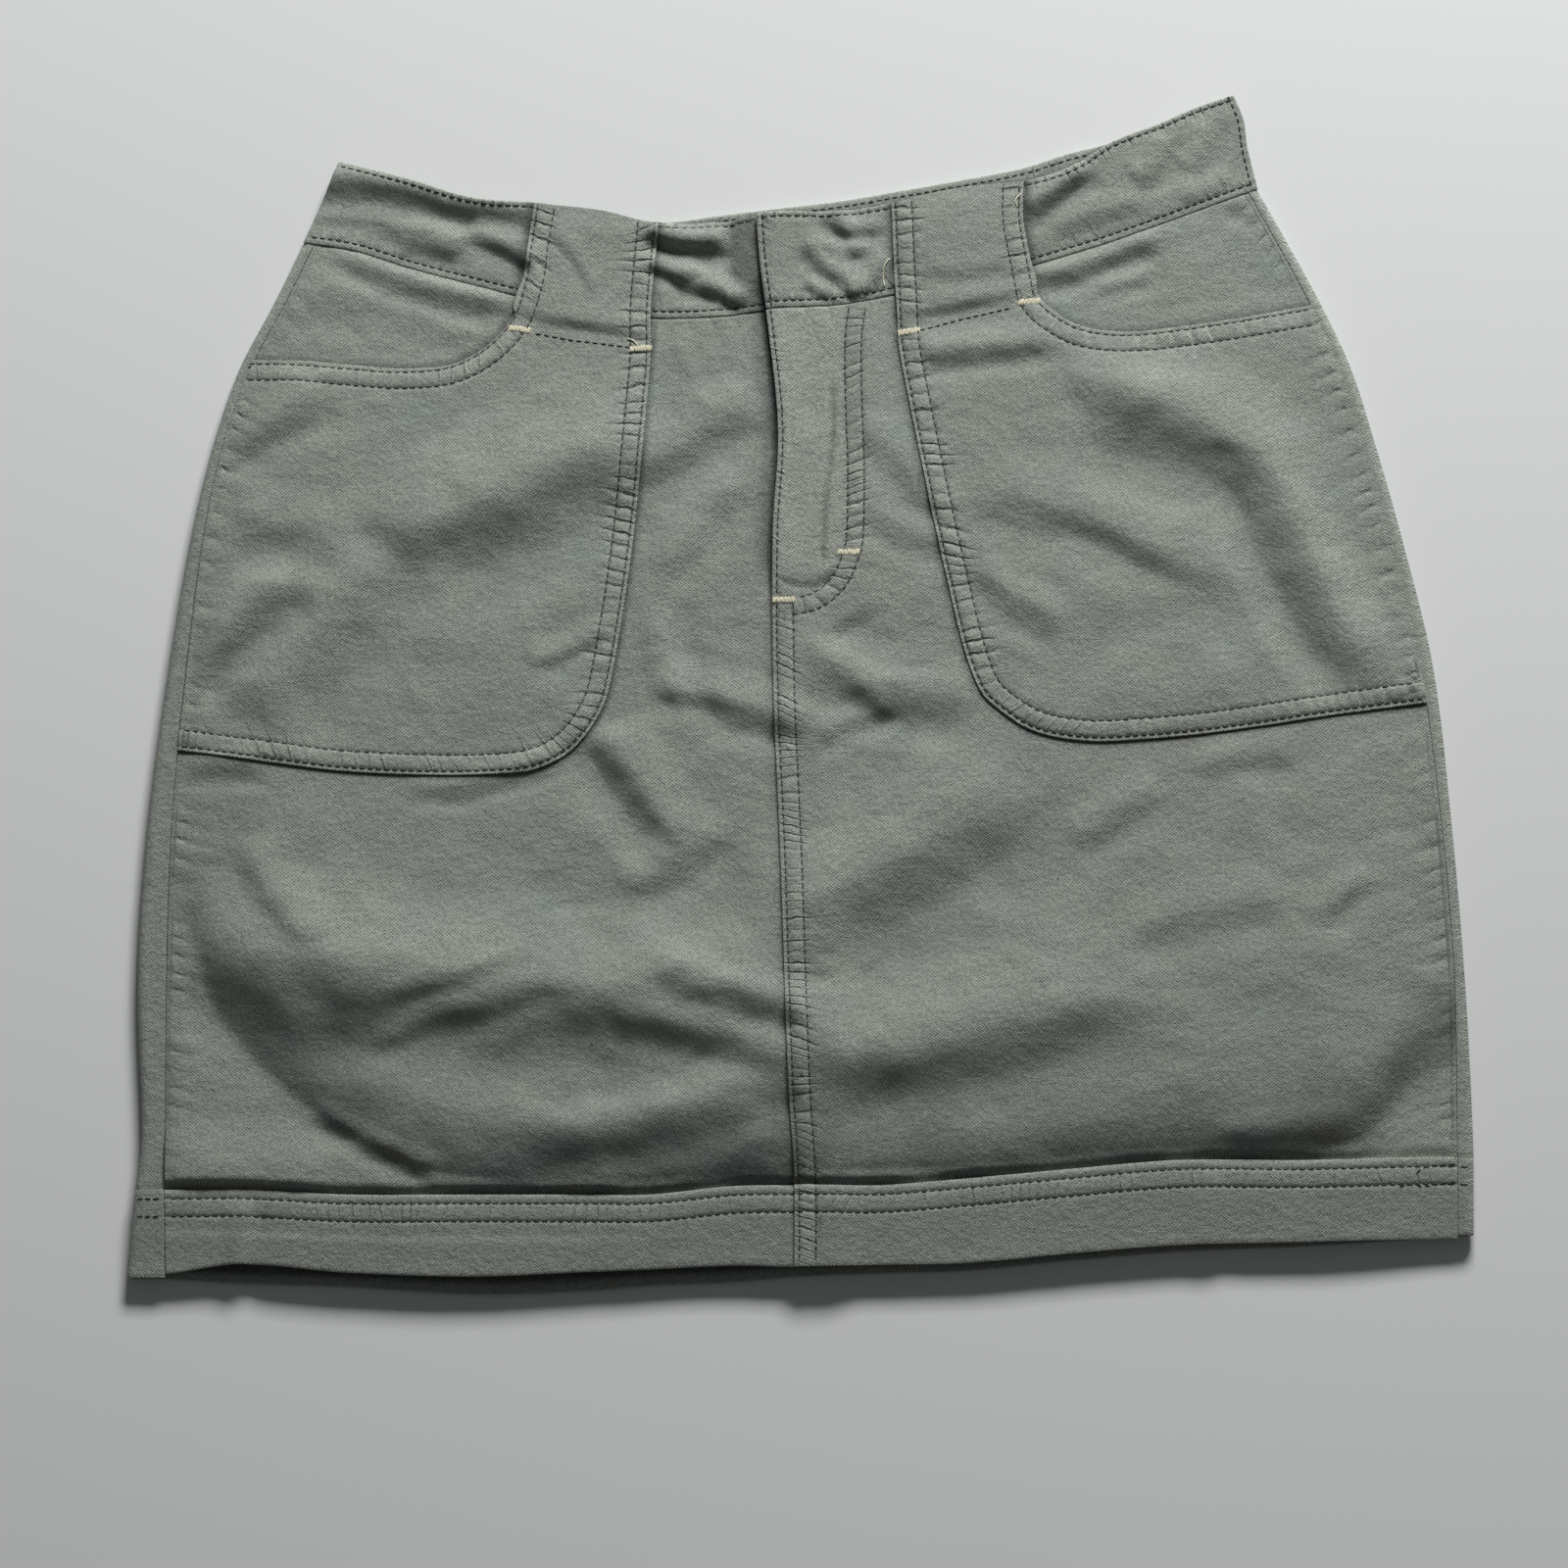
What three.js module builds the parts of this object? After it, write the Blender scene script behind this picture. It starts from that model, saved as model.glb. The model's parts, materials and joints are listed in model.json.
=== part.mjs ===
// A cargo skort laid flat with its front up, in millimetres.
// +X runs across the garment, +Y runs from the hem to the waist, and the surface it lies on is z = 0.
// Every piece of cloth is a closed wall. "Left" and "right" are as seen from above.
import * as THREE from "three";

// Walls of cloth
const panelCloth = 1.2;
const pocketCloth = 1.4;
const waistbandCloth = 2.4;
const hemCloth = 2.0;
const shortsCloth = 1.0;

// Gaps between pieces
const seamGap = 0.3;
const layerGap = 0.45;
const hiddenGap = 0.4;

// Seams and laps
const hemLap = 12;
const felledLap = 9;
const flyShieldWidth = 28;
const flyBottom = 34;
const waistbandUnderlap = 20;
const overlapFade = 14;

// Inner shorts
const shortsInset = 24;
const shortsHem = -150;
const shortsDrop = 12;

const columns = (names, rows) =>
  rows.map((row) => Object.fromEntries(names.map((name, k) => [name, row[k]])));

// The two sides: where the cloth folds over, and the side seam just inside each fold.
const sides = columns(["y", "leftFold", "leftSeam", "rightSeam", "rightFold"], [
  [-225, -253, -238.5, 247, 253],
  [-195, -250.5, -239, 247, 253],
  [-170, -248, -239, 247, 253],
  [-110, -250, -239, 246.5, 250.5],
  [-50, -246.5, -237.5, 242, 246],
  [10, -239, -232, 234.5, 239.5],
  [60, -231, -226, 222.5, 228],
  [95, -223, -219, 213, 218.5],
  [125, -213, -208.6, 204, 209.3],
  [150, -200.3, -195.8, 193.6, 198],
  [175, -188.5, -184.2, 180.6, 184.8],
  [200, -178, -174, 167, 171],
]);

// The waist: the front's top edge, the front seam, the back's top edge and the back seam.
const waist = columns(["x", "frontTop", "frontSeam", "backTop", "backSeam"], [
  [-190, 209, 173.2, 207, 173.2],
  [-170, 203.5, 170, 201.5, 169.6],
  [-150, 198, 163.5, 196, 163.3],
  [-125, 190.5, 156.7, 189, 157],
  [-100, 188.7, 150.5, 187, 152],
  [-75, 185.8, 146, 184.5, 148.6],
  [-54, 180.8, 143.5, 182, 147.2],
  [-30, 181.3, 144.2, 185, 148.6],
  [-10, 185, 147, 187.5, 151],
  [15, 185.3, 148.6, 190.5, 154],
  [35, 188.8, 152.6, 194, 157.5],
  [60, 194.5, 157.5, 198.5, 162],
  [85, 197.4, 163.2, 203.5, 167.5],
  [102, 202, 168.2, 209, 172],
  [118, 212.3, 173.3, 213, 176],
  [136, 219.5, 179.8, 218.5, 181],
  [150, 226, 185.2, 225, 185.8],
  [165, 231.5, 190.8, 230.5, 191],
  [176, 236, 194.6, 235, 194.6],
]);

// The hem: the top of the front band, the front hem, and the longer back hem.
const hem = columns(["x", "bandTop", "frontHem", "backHem"], [
  [-253, -191, -223.5, -224],
  [-238, -191, -222.6, -224],
  [-210, -191, -219, -225.5],
  [-170, -193, -222.3, -228.8],
  [-122, -193, -223.7, -232],
  [-81, -193, -222, -230.5],
  [-57, -193, -221, -228],
  [-25, -189.8, -219.5, -225],
  [-2, -189.5, -220, -223],
  [30, -189.5, -219.2, -221.7],
  [62, -187, -218.5, -220.7],
  [100, -183.5, -215, -217],
  [142, -180, -211.7, -213.5],
  [190, -180, -210.5, -211.5],
  [238, -178.6, -209.2, -208.5],
  [253, -179, -209, -207.5],
]);

// The right front's edge: the waistband's end, the fly and the centre seam.
const centre = columns(["y", "edge"], [
  [-224, -2.3],
  [-190, -2.3],
  [-150, -4.7],
  [-60, -7.8],
  [0, -10.3],
  [60, -10.5],
  [100, -8.5],
  [146, -13],
  [165, -15.5],
  [186, -17],
]);

// The waistband's right-hand end, which leans in above the side seam.
const waistbandEnd = columns(["y", "edge"], [
  [190, 175.5],
  [194, 174.4],
  [211, 170.5],
  [222, 169],
  [232, 165],
]);

// The foot of the front's swell: it rises from this line, which runs along the hem band and
// turns up at both sides.
const swell = columns(["x", "foot"], [
  [-256, -52],
  [-243, -66],
  [-229, -95],
  [-220, -122],
  [-199, -148],
  [-171, -169],
  [-142, -183],
  [-110, -188],
  [-60, -188],
  [0, -185],
  [60, -182.5],
  [140, -176],
  [196, -176],
  [213, -170],
  [228, -152],
  [249, -133],
  [256, -128],
]);

// How far the front stands above its sides, by the distance above the foot of the swell.
const crown = columns(["above", "lift"], [
  [0, 1.8],
  [5, 4.6],
  [13, 7.2],
  [28, 9],
  [60, 8.2],
  [110, 6],
  [180, 4.6],
  [260, 3.4],
  [315, 1.6],
  [345, 0.6],
  [400, 0.4],
]);

// The height of the front's underside along its side seams.
const sideLift = columns(["y", "lift"], [
  [-225, 5.2],
  [60, 5.2],
  [130, 5],
  [165, 4.6],
  [190, 4.1],
  [232, 3.8],
]);

// Folds: a crest along a curve through three points, with its half width and height.
const folds = columns(["cloth", "x0", "y0", "x1", "y1", "x2", "y2", "width", "height"], [
  ["pocketLeft", -62, 98, -104, 84, -154, 54, 16, 3.2],
  ["pocketLeft", -182, 56, -206, 46, -226, 26, 12, 2.4],
  ["pocketLeft", -176, 118, -196, 112, -216, 96, 10, 1.6],
  ["pocketRight", 102, 104, 176, 116, 198, 54, 15, 3.8],
  ["pocketRight", 194, 54, 214, 42, 222, 8, 12, 2.6],
  ["pocketRight", 66, 76, 110, 74, 150, 44, 12, 1.4],
  ["frontLeft", -18, 112, -38, 104, -60, 92, 11, 1.8],
  ["frontLeft", -50, 22, -40, -2, -14, -4, 10, 2.8],
  ["frontLeft", -72, -34, -58, -46, -50, -68, 11, 2.0],
  ["frontLeft", -204, -112, -130, -104, -62, -102, 16, 3.2],
  ["frontLeft", -46, -110, -26, -112, -10, -116, 10, 2.2],
  ["frontRight", 10, 8, 34, 6, 40, -12, 11, 1.6],
  ["frontRight", 86, -20, 46, -48, 6, -84, 17, 3.8],
  ["frontRight", 146, -102, 84, -114, 12, -132, 16, 3.0],
]);

// Pocket outlines, from the tab's root round to the side seam.
const pocketLeftInner = columns(["x", "y"], [
  [-57, 139], [-57, 128], [-59, 104], [-63, 62], [-67, 31], [-72, 2], [-75.5, -9], [-81, -18],
]);
const pocketLeftBottom = columns(["x", "y"], [
  [-81, -18], [-88, -25], [-97, -30], [-108, -32.5], [-133, -33.5], [-171, -32], [-199, -28.5],
  [-234.5, -23],
]);
const pocketLeftMouth = columns(["x", "y"], [
  [-109, 146], [-115, 137.5], [-124, 130], [-136, 125], [-154, 123.8], [-170, 125], [-191, 127], [-210, 127.5],
]);
const pocketRightInner = columns(["x", "y"], [
  [37, 138], [38, 129], [43.5, 100], [49.5, 70], [56, 40], [62, 15], [68, -1], [76, -9],
]);
const pocketRightBottom = columns(["x", "y"], [
  [76, -9], [84, -14.5], [93, -18], [105, -20], [118, -20.3], [147, -18], [175, -14.3], [204, -9.5], [236, -4.7],
]);
const pocketRightMouth = columns(["x", "y"], [
  [90, 153], [93, 149], [98, 145], [104.5, 141.3], [114, 138.8], [127, 138.3], [146, 140.5], [168, 144],
  [193.5, 148.7],
]);

// The belt tunnels: each tab's two edges, from its root up to the waistband's top edge.
const tabLeft = columns(["y", "outer", "inner"], [
  [136, -112, -57],
  [146, -109, -57],
  [160, -105.2, -56],
  [172, -103.7, -54.8],
  [190, -101, -53.5],
]);
const tabRight = columns(["y", "inner", "outer"], [
  [136, 37, 91],
  [152, 36.4, 90],
  [166, 35.6, 87.6],
  [182, 35, 84.8],
  [198, 34, 85],
]);

const clamp = (value) => Math.min(1, Math.max(0, value));
const mix = (a, b, t) => a + (b - a) * t;
const ease = (value) => clamp(value) ** 2 * (3 - 2 * clamp(value));

// A smooth line through one column of a table.
function line(rows, at, column) {
  const slopes = rows.map((row, k) => {
    const before = rows[Math.max(0, k - 1)];
    const after = rows[Math.min(rows.length - 1, k + 1)];
    return (after[column] - before[column]) / (after[at] - before[at]);
  });
  return (place) => {
    const next = rows.findIndex((row) => row[at] > place);
    const k = next === -1 ? rows.length - 2 : Math.max(0, next - 1);
    const span = rows[k + 1][at] - rows[k][at];
    const t = (place - rows[k][at]) / span;
    if (t < 0) return rows[k][column] + slopes[k] * t * span;
    if (t > 1) return rows[k + 1][column] + slopes[k + 1] * (t - 1) * span;
    return (
      (2 * t ** 3 - 3 * t ** 2 + 1) * rows[k][column] +
      (t ** 3 - 2 * t ** 2 + t) * span * slopes[k] +
      (3 * t ** 2 - 2 * t ** 3) * rows[k + 1][column] +
      (t ** 3 - t ** 2) * span * slopes[k + 1]
    );
  };
}

const shifted = (base, by) => (place) => base(place) + by;

const leftFold = line(sides, "y", "leftFold");
const leftSeam = line(sides, "y", "leftSeam");
const rightSeam = line(sides, "y", "rightSeam");
const rightFold = line(sides, "y", "rightFold");
const waistTop = line(waist, "x", "frontTop");
const waistSeam = line(waist, "x", "frontSeam");
const backTop = line(waist, "x", "backTop");
const backSeam = line(waist, "x", "backSeam");
const bandTop = line(hem, "x", "bandTop");
const frontHem = line(hem, "x", "frontHem");
const backHem = line(hem, "x", "backHem");
const backBandTop = (x) => -185 + 0.024 * x;
const centreEdge = line(centre, "y", "edge");
const rightEnd = line(waistbandEnd, "y", "edge");
const swellFoot = line(swell, "x", "foot");
const crownLift = line(crown, "above", "lift");
const liftAtSides = line(sideLift, "y", "lift");

// Heights. The front's underside is the form that every layer above it follows.
const sideRise = 60;

function formUnder(x, y) {
  const inside = Math.min(x - leftFold(y), rightFold(y) - x);
  const above = Math.max(0, y - swellFoot(x));
  return liftAtSides(y) + crownLift(above) * ease(inside / sideRise);
}

function segmentDistance(x, y, a, b) {
  const run = b.clone().sub(a);
  const t = clamp(new THREE.Vector2(x - a.x, y - a.y).dot(run) / run.lengthSq());
  return { t, distance: Math.hypot(x - a.x - run.x * t, y - a.y - run.y * t) };
}

const foldSteps = 10;
const foldCurves = folds.map((fold) => {
  const curve = new THREE.QuadraticBezierCurve(
    new THREE.Vector2(fold.x0, fold.y0),
    new THREE.Vector2(2 * fold.x1 - (fold.x0 + fold.x2) / 2, 2 * fold.y1 - (fold.y0 + fold.y2) / 2),
    new THREE.Vector2(fold.x2, fold.y2),
  );
  return { ...fold, points: curve.getPoints(foldSteps) };
});

// Adds up the folds of one cloth: round across, and fading at both ends.
function foldHeight(cloth, x, y) {
  let height = 0;
  for (const fold of foldCurves.filter((row) => row.cloth === cloth)) {
    let nearest = { distance: Infinity, along: 0 };
    for (let k = 0; k < foldSteps; k += 1) {
      const { t, distance } = segmentDistance(x, y, fold.points[k], fold.points[k + 1]);
      if (distance < nearest.distance) nearest = { distance, along: (k + t) / foldSteps };
    }
    const across = 1 - ease(nearest.distance / fold.width);
    const taper = ease(nearest.along / 0.2) * ease((1 - nearest.along) / 0.2);
    height += fold.height * across * mix(0.25, 1, taper);
  }
  return height;
}

// The fronts lie smooth under the pockets, the waistband and the hem band.
function frontFolds(cloth, x, y) {
  const besideLeft = (x + 55 - 0.115 * (y - 139)) / 14;
  const besideRight = (35 + 0.2 * (139 - y) - x) / 14;
  const beside = cloth === "frontLeft" ? besideLeft : besideRight;
  const lowest = cloth === "frontLeft" ? -38 : -26 + 0.13 * Math.max(0, x - 118);
  const free = Math.max(ease(beside), ease((lowest - y) / 14));
  const uncovered = cloth === "frontLeft" ? ease((centreEdge(y) - x - 1) / 10) : 1;
  const inside = Math.min(x - leftSeam(y), rightSeam(y) - x);
  const edges = ease(inside / 14) * ease((y - bandTop(x) - 3) / 12);
  return foldHeight(cloth, x, y) * free * uncovered * edges;
}

const underlap = (y) => mix(felledLap, flyShieldWidth, ease((y - flyBottom + 6) / 14));

// The right front rises over the left one beside the centre, then comes down to the form.
function overlapRise(x, y) {
  const past = x - centreEdge(y) - underlap(y + 9) - 5;
  return (panelCloth + layerGap) * (1 - ease(past / overlapFade));
}

const waistbandLow = 2.7;
const waistbandHigh = 4.9;

function waistbandUnder(x, y) {
  const inside = Math.min(x - leftFold(y), rightEnd(y) - x);
  return mix(waistbandLow, waistbandHigh, ease(inside / 45));
}

const frontLeftMid = (x, y) => formUnder(x, y) + panelCloth / 2 + frontFolds("frontLeft", x, y);
const frontRightMid = (x, y) =>
  formUnder(x, y) + panelCloth / 2 + overlapRise(x, y) + frontFolds("frontRight", x, y);
const bandMid = (x, y) => formUnder(x, y) + panelCloth + layerGap + hemCloth / 2;
const bandRightMid = (x, y) => bandMid(x, y) + overlapRise(x, y);
const waistbandMid = (x, y) => waistbandUnder(x, y) + waistbandCloth / 2;

function waistbandRightMid(x, y) {
  const past = x - centreEdge(y) - waistbandUnderlap - 2;
  return waistbandMid(x, y) + (waistbandCloth + layerGap) * (1 - ease(past / 20));
}

// A pocket lies on its front, and its tab climbs over the waistband and bows up as a belt tunnel.
const tunnelBow = 1.4;

function pocketMid(cloth, x, y, tab) {
  const onPanel = formUnder(x, y) + panelCloth + layerGap + pocketCloth / 2 + foldHeight(cloth, x, y);
  const across = clamp((x - tab.low(y)) / (tab.high(y) - tab.low(y)));
  const bow = tunnelBow * Math.sin(Math.PI * across);
  const onBand = waistbandUnder(x, y) + waistbandCloth + layerGap + pocketCloth / 2 + bow;
  return mix(onPanel, onBand, ease((y - waistSeam(x) + 12) / 9));
}

// A patch of the plane between four lines: two give x by y, and two give y by x.
function patch(left, right, bottom, top) {
  const corner = (xLine, yLine) => {
    let y = yLine(xLine(0));
    for (let k = 0; k < 20; k += 1) y = yLine(xLine(y));
    return new THREE.Vector2(xLine(y), y);
  };
  const southWest = corner(left, bottom);
  const southEast = corner(right, bottom);
  const northWest = corner(left, top);
  const northEast = corner(right, top);
  return blend(
    (v) => sideways(left, mix(southWest.y, northWest.y, v)),
    (v) => sideways(right, mix(southEast.y, northEast.y, v)),
    (u) => upright(bottom, mix(southWest.x, southEast.x, u)),
    (u) => upright(top, mix(northWest.x, northEast.x, u)),
  );
}

const sideways = (xLine, y) => new THREE.Vector2(xLine(y), y);
const upright = (yLine, x) => new THREE.Vector2(x, yLine(x));

// Fills four edges that meet at their corners, each a function from 0 to 1.
function blend(left, right, bottom, top) {
  return (u, v) => {
    const low = bottom(0).lerp(bottom(1), u);
    const high = top(0).lerp(top(1), u);
    return left(v)
      .lerp(right(v), u)
      .add(bottom(u).lerp(top(u), v))
      .sub(low.lerp(high, v));
  };
}

// A closed wall of cloth round a middle surface. Its cells can be left out to shape an outline.
function wall(cols, rows, thickness, middle, keep = () => true) {
  const point = (i, j) => middle(Math.min(cols, Math.max(0, i)), Math.min(rows, Math.max(0, j)));
  const normals = new Map();
  const facing = new THREE.Vector3();
  for (let j = 0; j <= rows; j += 1) {
    for (let i = 0; i <= cols; i += 1) {
      const along = point(i + 1, j).sub(point(i - 1, j));
      const up = point(i, j + 1).sub(point(i, j - 1));
      const normal = along.cross(up).normalize();
      normals.set(j * (cols + 1) + i, normal);
      facing.add(normal);
    }
  }
  const turn = Math.sign(facing.z);
  const positions = [];
  const numbers = new Map();
  const vertex = (i, j, side) => {
    const key = `${i} ${j} ${side}`;
    if (!numbers.has(key)) {
      numbers.set(key, numbers.size);
      const normal = normals.get(j * (cols + 1) + i);
      positions.push(...point(i, j).addScaledVector(normal, (turn * side * thickness) / 2));
    }
    return numbers.get(key);
  };
  const faces = [];
  const quad = (a, b, c, d) => {
    const loop = turn > 0 ? [a, b, c, a, c, d] : [a, c, b, a, d, c];
    faces.push(...loop);
  };
  const kept = (i, j) => i >= 0 && j >= 0 && i < cols && j < rows && keep(i, j);
  for (let j = 0; j < rows; j += 1) {
    for (let i = 0; i < cols; i += 1) {
      if (!kept(i, j)) continue;
      quad(vertex(i, j, 1), vertex(i + 1, j, 1), vertex(i + 1, j + 1, 1), vertex(i, j + 1, 1));
      quad(vertex(i, j + 1, -1), vertex(i + 1, j + 1, -1), vertex(i + 1, j, -1), vertex(i, j, -1));
      const rim = (i0, j0, i1, j1) =>
        quad(vertex(i0, j0, -1), vertex(i1, j1, -1), vertex(i1, j1, 1), vertex(i0, j0, 1));
      if (!kept(i, j - 1)) rim(i, j, i + 1, j);
      if (!kept(i + 1, j)) rim(i + 1, j, i + 1, j + 1);
      if (!kept(i, j + 1)) rim(i + 1, j + 1, i, j + 1);
      if (!kept(i - 1, j)) rim(i, j + 1, i, j);
    }
  }
  const geometry = new THREE.BufferGeometry();
  geometry.setAttribute("position", new THREE.Float32BufferAttribute(positions, 3));
  geometry.setIndex(faces);
  geometry.computeVertexNormals();
  return geometry;
}

// A wall that is a sheet over a patch of the plane, at a height given by x and y.
function sheet(cols, rows, thickness, place, height, keep) {
  const middle = (i, j) => {
    const spot = place(i / cols, j / rows);
    return new THREE.Vector3(spot.x, spot.y, height(spot.x, spot.y));
  };
  return wall(cols, rows, thickness, middle, keep);
}

// The back pieces lie on the surface and wrap up over both sides to the side seams.
const floorCols = 16;
const foldCols = 4;
const sidesOfBack = {
  left: { fold: leftFold, lipEnd: shifted(leftSeam, -seamGap), inward: 1, lipCols: 2 },
  right: { fold: rightFold, lipEnd: shifted(rightSeam, seamGap), inward: -1, lipCols: 1 },
};

// The middle surface of one side: 0 is the edge of the flat part, then it goes round the fold
// and along the lip. Its two ends keep to the top and bottom lines.
function wrappedSide(side, thickness, bottom, top, lipMid) {
  const half = thickness / 2;
  const radius = (y) => (lipMid(side.fold(y), y) - half) / 2;
  const floorEdge = (y) => side.fold(y) + side.inward * (half + radius(y));
  const point = (edge, steps, v) => {
    const angle = Math.PI * Math.min(1, steps / foldCols);
    const settle = Math.max(0, (steps - foldCols) / side.lipCols);
    const slant = (x) => mix(bottom(x) - bottom(edge.x), top(x) - top(edge.x), v);
    const round = (y) => side.fold(y) + side.inward * (half + radius(y) * (1 - Math.sin(angle)));
    let y = edge.y;
    for (let k = 0; k < 6; k += 1) y = edge.y + slant(mix(round(y), side.lipEnd(y), settle));
    const x = mix(round(y), side.lipEnd(y), settle);
    const z = half + radius(y) * (1 - Math.cos(angle));
    return new THREE.Vector3(x, y, mix(z, lipMid(x, y), settle));
  };
  return { floorEdge, point };
}

function backPanel() {
  const rows = 22;
  const half = panelCloth / 2;
  const top = shifted(backSeam, -seamGap / 2);
  const bottom = shifted(backBandTop, seamGap / 2);
  const lipMid = (x, y) => formUnder(x, y) + half;
  const left = wrappedSide(sidesOfBack.left, panelCloth, bottom, top, lipMid);
  const right = wrappedSide(sidesOfBack.right, panelCloth, bottom, top, lipMid);
  const floor = patch(left.floorEdge, right.floorEdge, bottom, top);
  const leftCols = foldCols + sidesOfBack.left.lipCols;
  const rightCols = foldCols + sidesOfBack.right.lipCols;
  const middle = (i, j) => {
    const v = j / rows;
    const across = i - leftCols;
    if (across < 0) return left.point(floor(0, v), -across, v);
    if (across > floorCols) return right.point(floor(1, v), across - floorCols, v);
    const spot = floor(across / floorCols, v);
    return new THREE.Vector3(spot.x, spot.y, half);
  };
  return wall(leftCols + floorCols + rightCols, rows, panelCloth, middle);
}

// The back hem band is cut in three: a flat length, and a short one round each side.
const hemRows = 3;
const sideStub = 9;
const backBandEdge = shifted(backBandTop, -seamGap / 2);
const hemSideWrap = (side) => wrappedSide(side, hemCloth, backHem, backBandEdge, bandMid);

function hemBandSide(side) {
  const wrap = hemSideWrap(side);
  const stub = (y) => wrap.floorEdge(y) + side.inward * (sideStub - seamGap);
  const lines = [wrap.floorEdge, stub].sort((a, b) => a(0) - b(0));
  const floor = patch(...lines, backHem, backBandEdge);
  const edgeU = lines[0] === wrap.floorEdge ? 0 : 1;
  const middle = (i, j) => {
    const v = j / hemRows;
    if (i > 0) return wrap.point(floor(edgeU, v), i - 1, v);
    const spot = floor(1 - edgeU, v);
    return new THREE.Vector3(spot.x, spot.y, hemCloth / 2);
  };
  return wall(1 + foldCols + side.lipCols, hemRows, hemCloth, middle);
}

function hemBandBack() {
  const left = shifted(hemSideWrap(sidesOfBack.left).floorEdge, sideStub);
  const right = shifted(hemSideWrap(sidesOfBack.right).floorEdge, -sideStub);
  const place = patch(left, right, backHem, backBandEdge);
  return sheet(floorCols, hemRows, hemCloth, place, () => hemCloth / 2);
}

// The fronts' rows: one along the hem band's top edge, then close together up the swell.
const frontRows = 32;
const lapShare = 0.037;

function frontPlace(place) {
  return (u, v) => {
    const row = Math.max(0, v * frontRows - 1) / (frontRows - 1);
    return place(u, v === 0 ? 0 : mix(lapShare, 1, row ** 1.25));
  };
}

function frontPanelLeft() {
  const left = shifted(leftSeam, seamGap / 2);
  const right = (y) => centreEdge(y) + underlap(y);
  const bottom = shifted(bandTop, -hemLap);
  const top = shifted(waistSeam, -seamGap / 2);
  return sheet(22, frontRows, panelCloth, frontPlace(patch(left, right, bottom, top)), frontLeftMid);
}

function frontPanelRight() {
  const right = shifted(rightSeam, -seamGap / 2);
  const bottom = shifted(bandTop, -hemLap);
  const top = shifted(waistSeam, -seamGap / 2);
  return sheet(22, frontRows, panelCloth, frontPlace(patch(centreEdge, right, bottom, top)), frontRightMid);
}

function hemBandFrontLeft() {
  const left = shifted(leftSeam, seamGap / 2);
  const right = shifted(centreEdge, -seamGap);
  return sheet(20, hemRows, hemCloth, patch(left, right, frontHem, bandTop), bandMid);
}

function hemBandFrontRight() {
  const right = shifted(rightSeam, -seamGap / 2);
  return sheet(20, hemRows, hemCloth, patch(centreEdge, right, frontHem, bandTop), bandRightMid);
}

function waistbandBack() {
  const bottom = shifted(backSeam, seamGap);
  const place = patch(leftFold, rightEnd, bottom, backTop);
  return sheet(floorCols, 3, waistbandCloth - 0.2, place, () => waistbandCloth / 2 - 0.1);
}

function waistbandFrontLeft() {
  const right = (y) => centreEdge(y) + waistbandUnderlap;
  const bottom = shifted(waistSeam, seamGap);
  return sheet(18, 4, waistbandCloth, patch(leftFold, right, bottom, waistTop), waistbandMid);
}

function waistbandFrontRight() {
  const bottom = shifted(waistSeam, seamGap);
  return sheet(20, 4, waistbandCloth, patch(centreEdge, rightEnd, bottom, waistTop), waistbandRightMid);
}

// A patch pocket: a block from the bottom edge up to the pocket mouth and the tab's root,
// and a narrower block, the tab, that goes on up from the root.
const mouthCols = 10;
const rootCols = 5;
const pocketRows = 16;
const tabRows = 5;

function pocket(cloth, inner, bottom, mouth, seamX, tabTable) {
  const spline = (rows) => new THREE.SplineCurve(rows.map((row) => new THREE.Vector2(row.x, row.y)));
  const outerX = line(tabTable, "y", "outer");
  const innerX = line(tabTable, "y", "inner");
  const cols = mouthCols + rootCols;
  const split = mouthCols / cols;
  const innerCurve = spline(inner);
  const bottomCurve = spline(bottom);
  const mouthCurve = spline(mouth);
  const mouthEnd = mouth[mouth.length - 1];
  const bottomEnd = bottom[bottom.length - 1];
  const root = [mouth[0], inner[0]].map((row) => new THREE.Vector2(row.x, row.y));
  const tabTop = (x) => waistTop(x) - 0.4;

  // u runs from the side seam to the inner edge, and v from the bottom to the mouth.
  const top = (u) =>
    u < split ? mouthCurve.getPointAt(1 - u / split) : root[0].clone().lerp(root[1], (u - split) / (1 - split));
  const low = (u) => bottomCurve.getPointAt(1 - u);
  const side = (v) => sideways(seamX, mix(bottomEnd.y, mouthEnd.y, v));
  const inside = (v) => innerCurve.getPointAt(1 - v);
  const body = blend(side, inside, low, top);

  const tab = (u, v) => {
    const across = (u - split) / (1 - split);
    const base = root[0].clone().lerp(root[1], across);
    const middleX = mix(outerX(base.y), innerX(base.y), across);
    let y = mix(base.y, tabTop(middleX), v);
    const x = mix(outerX(y), innerX(y), across);
    y = mix(base.y, tabTop(x), v);
    return new THREE.Vector2(mix(base.x, x, ease(3 * v)), y);
  };

  const edges = [outerX, innerX].sort((a, b) => a(160) - b(160));
  const tabLines = { low: edges[0], high: edges[1] };
  const middle = (i, j) => {
    const u = i / cols;
    const spot = j <= pocketRows ? body(u, j / pocketRows) : tab(u, (j - pocketRows) / tabRows);
    return new THREE.Vector3(spot.x, spot.y, pocketMid(cloth, spot.x, spot.y, tabLines));
  };
  const keep = (i, j) => j < pocketRows || i >= mouthCols;
  const bounded = (i, j) => middle(j > pocketRows ? Math.max(i, mouthCols) : i, j);
  return wall(cols, pocketRows + tabRows, pocketCloth, bounded, keep);
}

function pocketLeft() {
  const seamX = shifted(leftSeam, seamGap / 2);
  return pocket("pocketLeft", pocketLeftInner, pocketLeftBottom, pocketLeftMouth, seamX, tabLeft);
}

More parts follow.
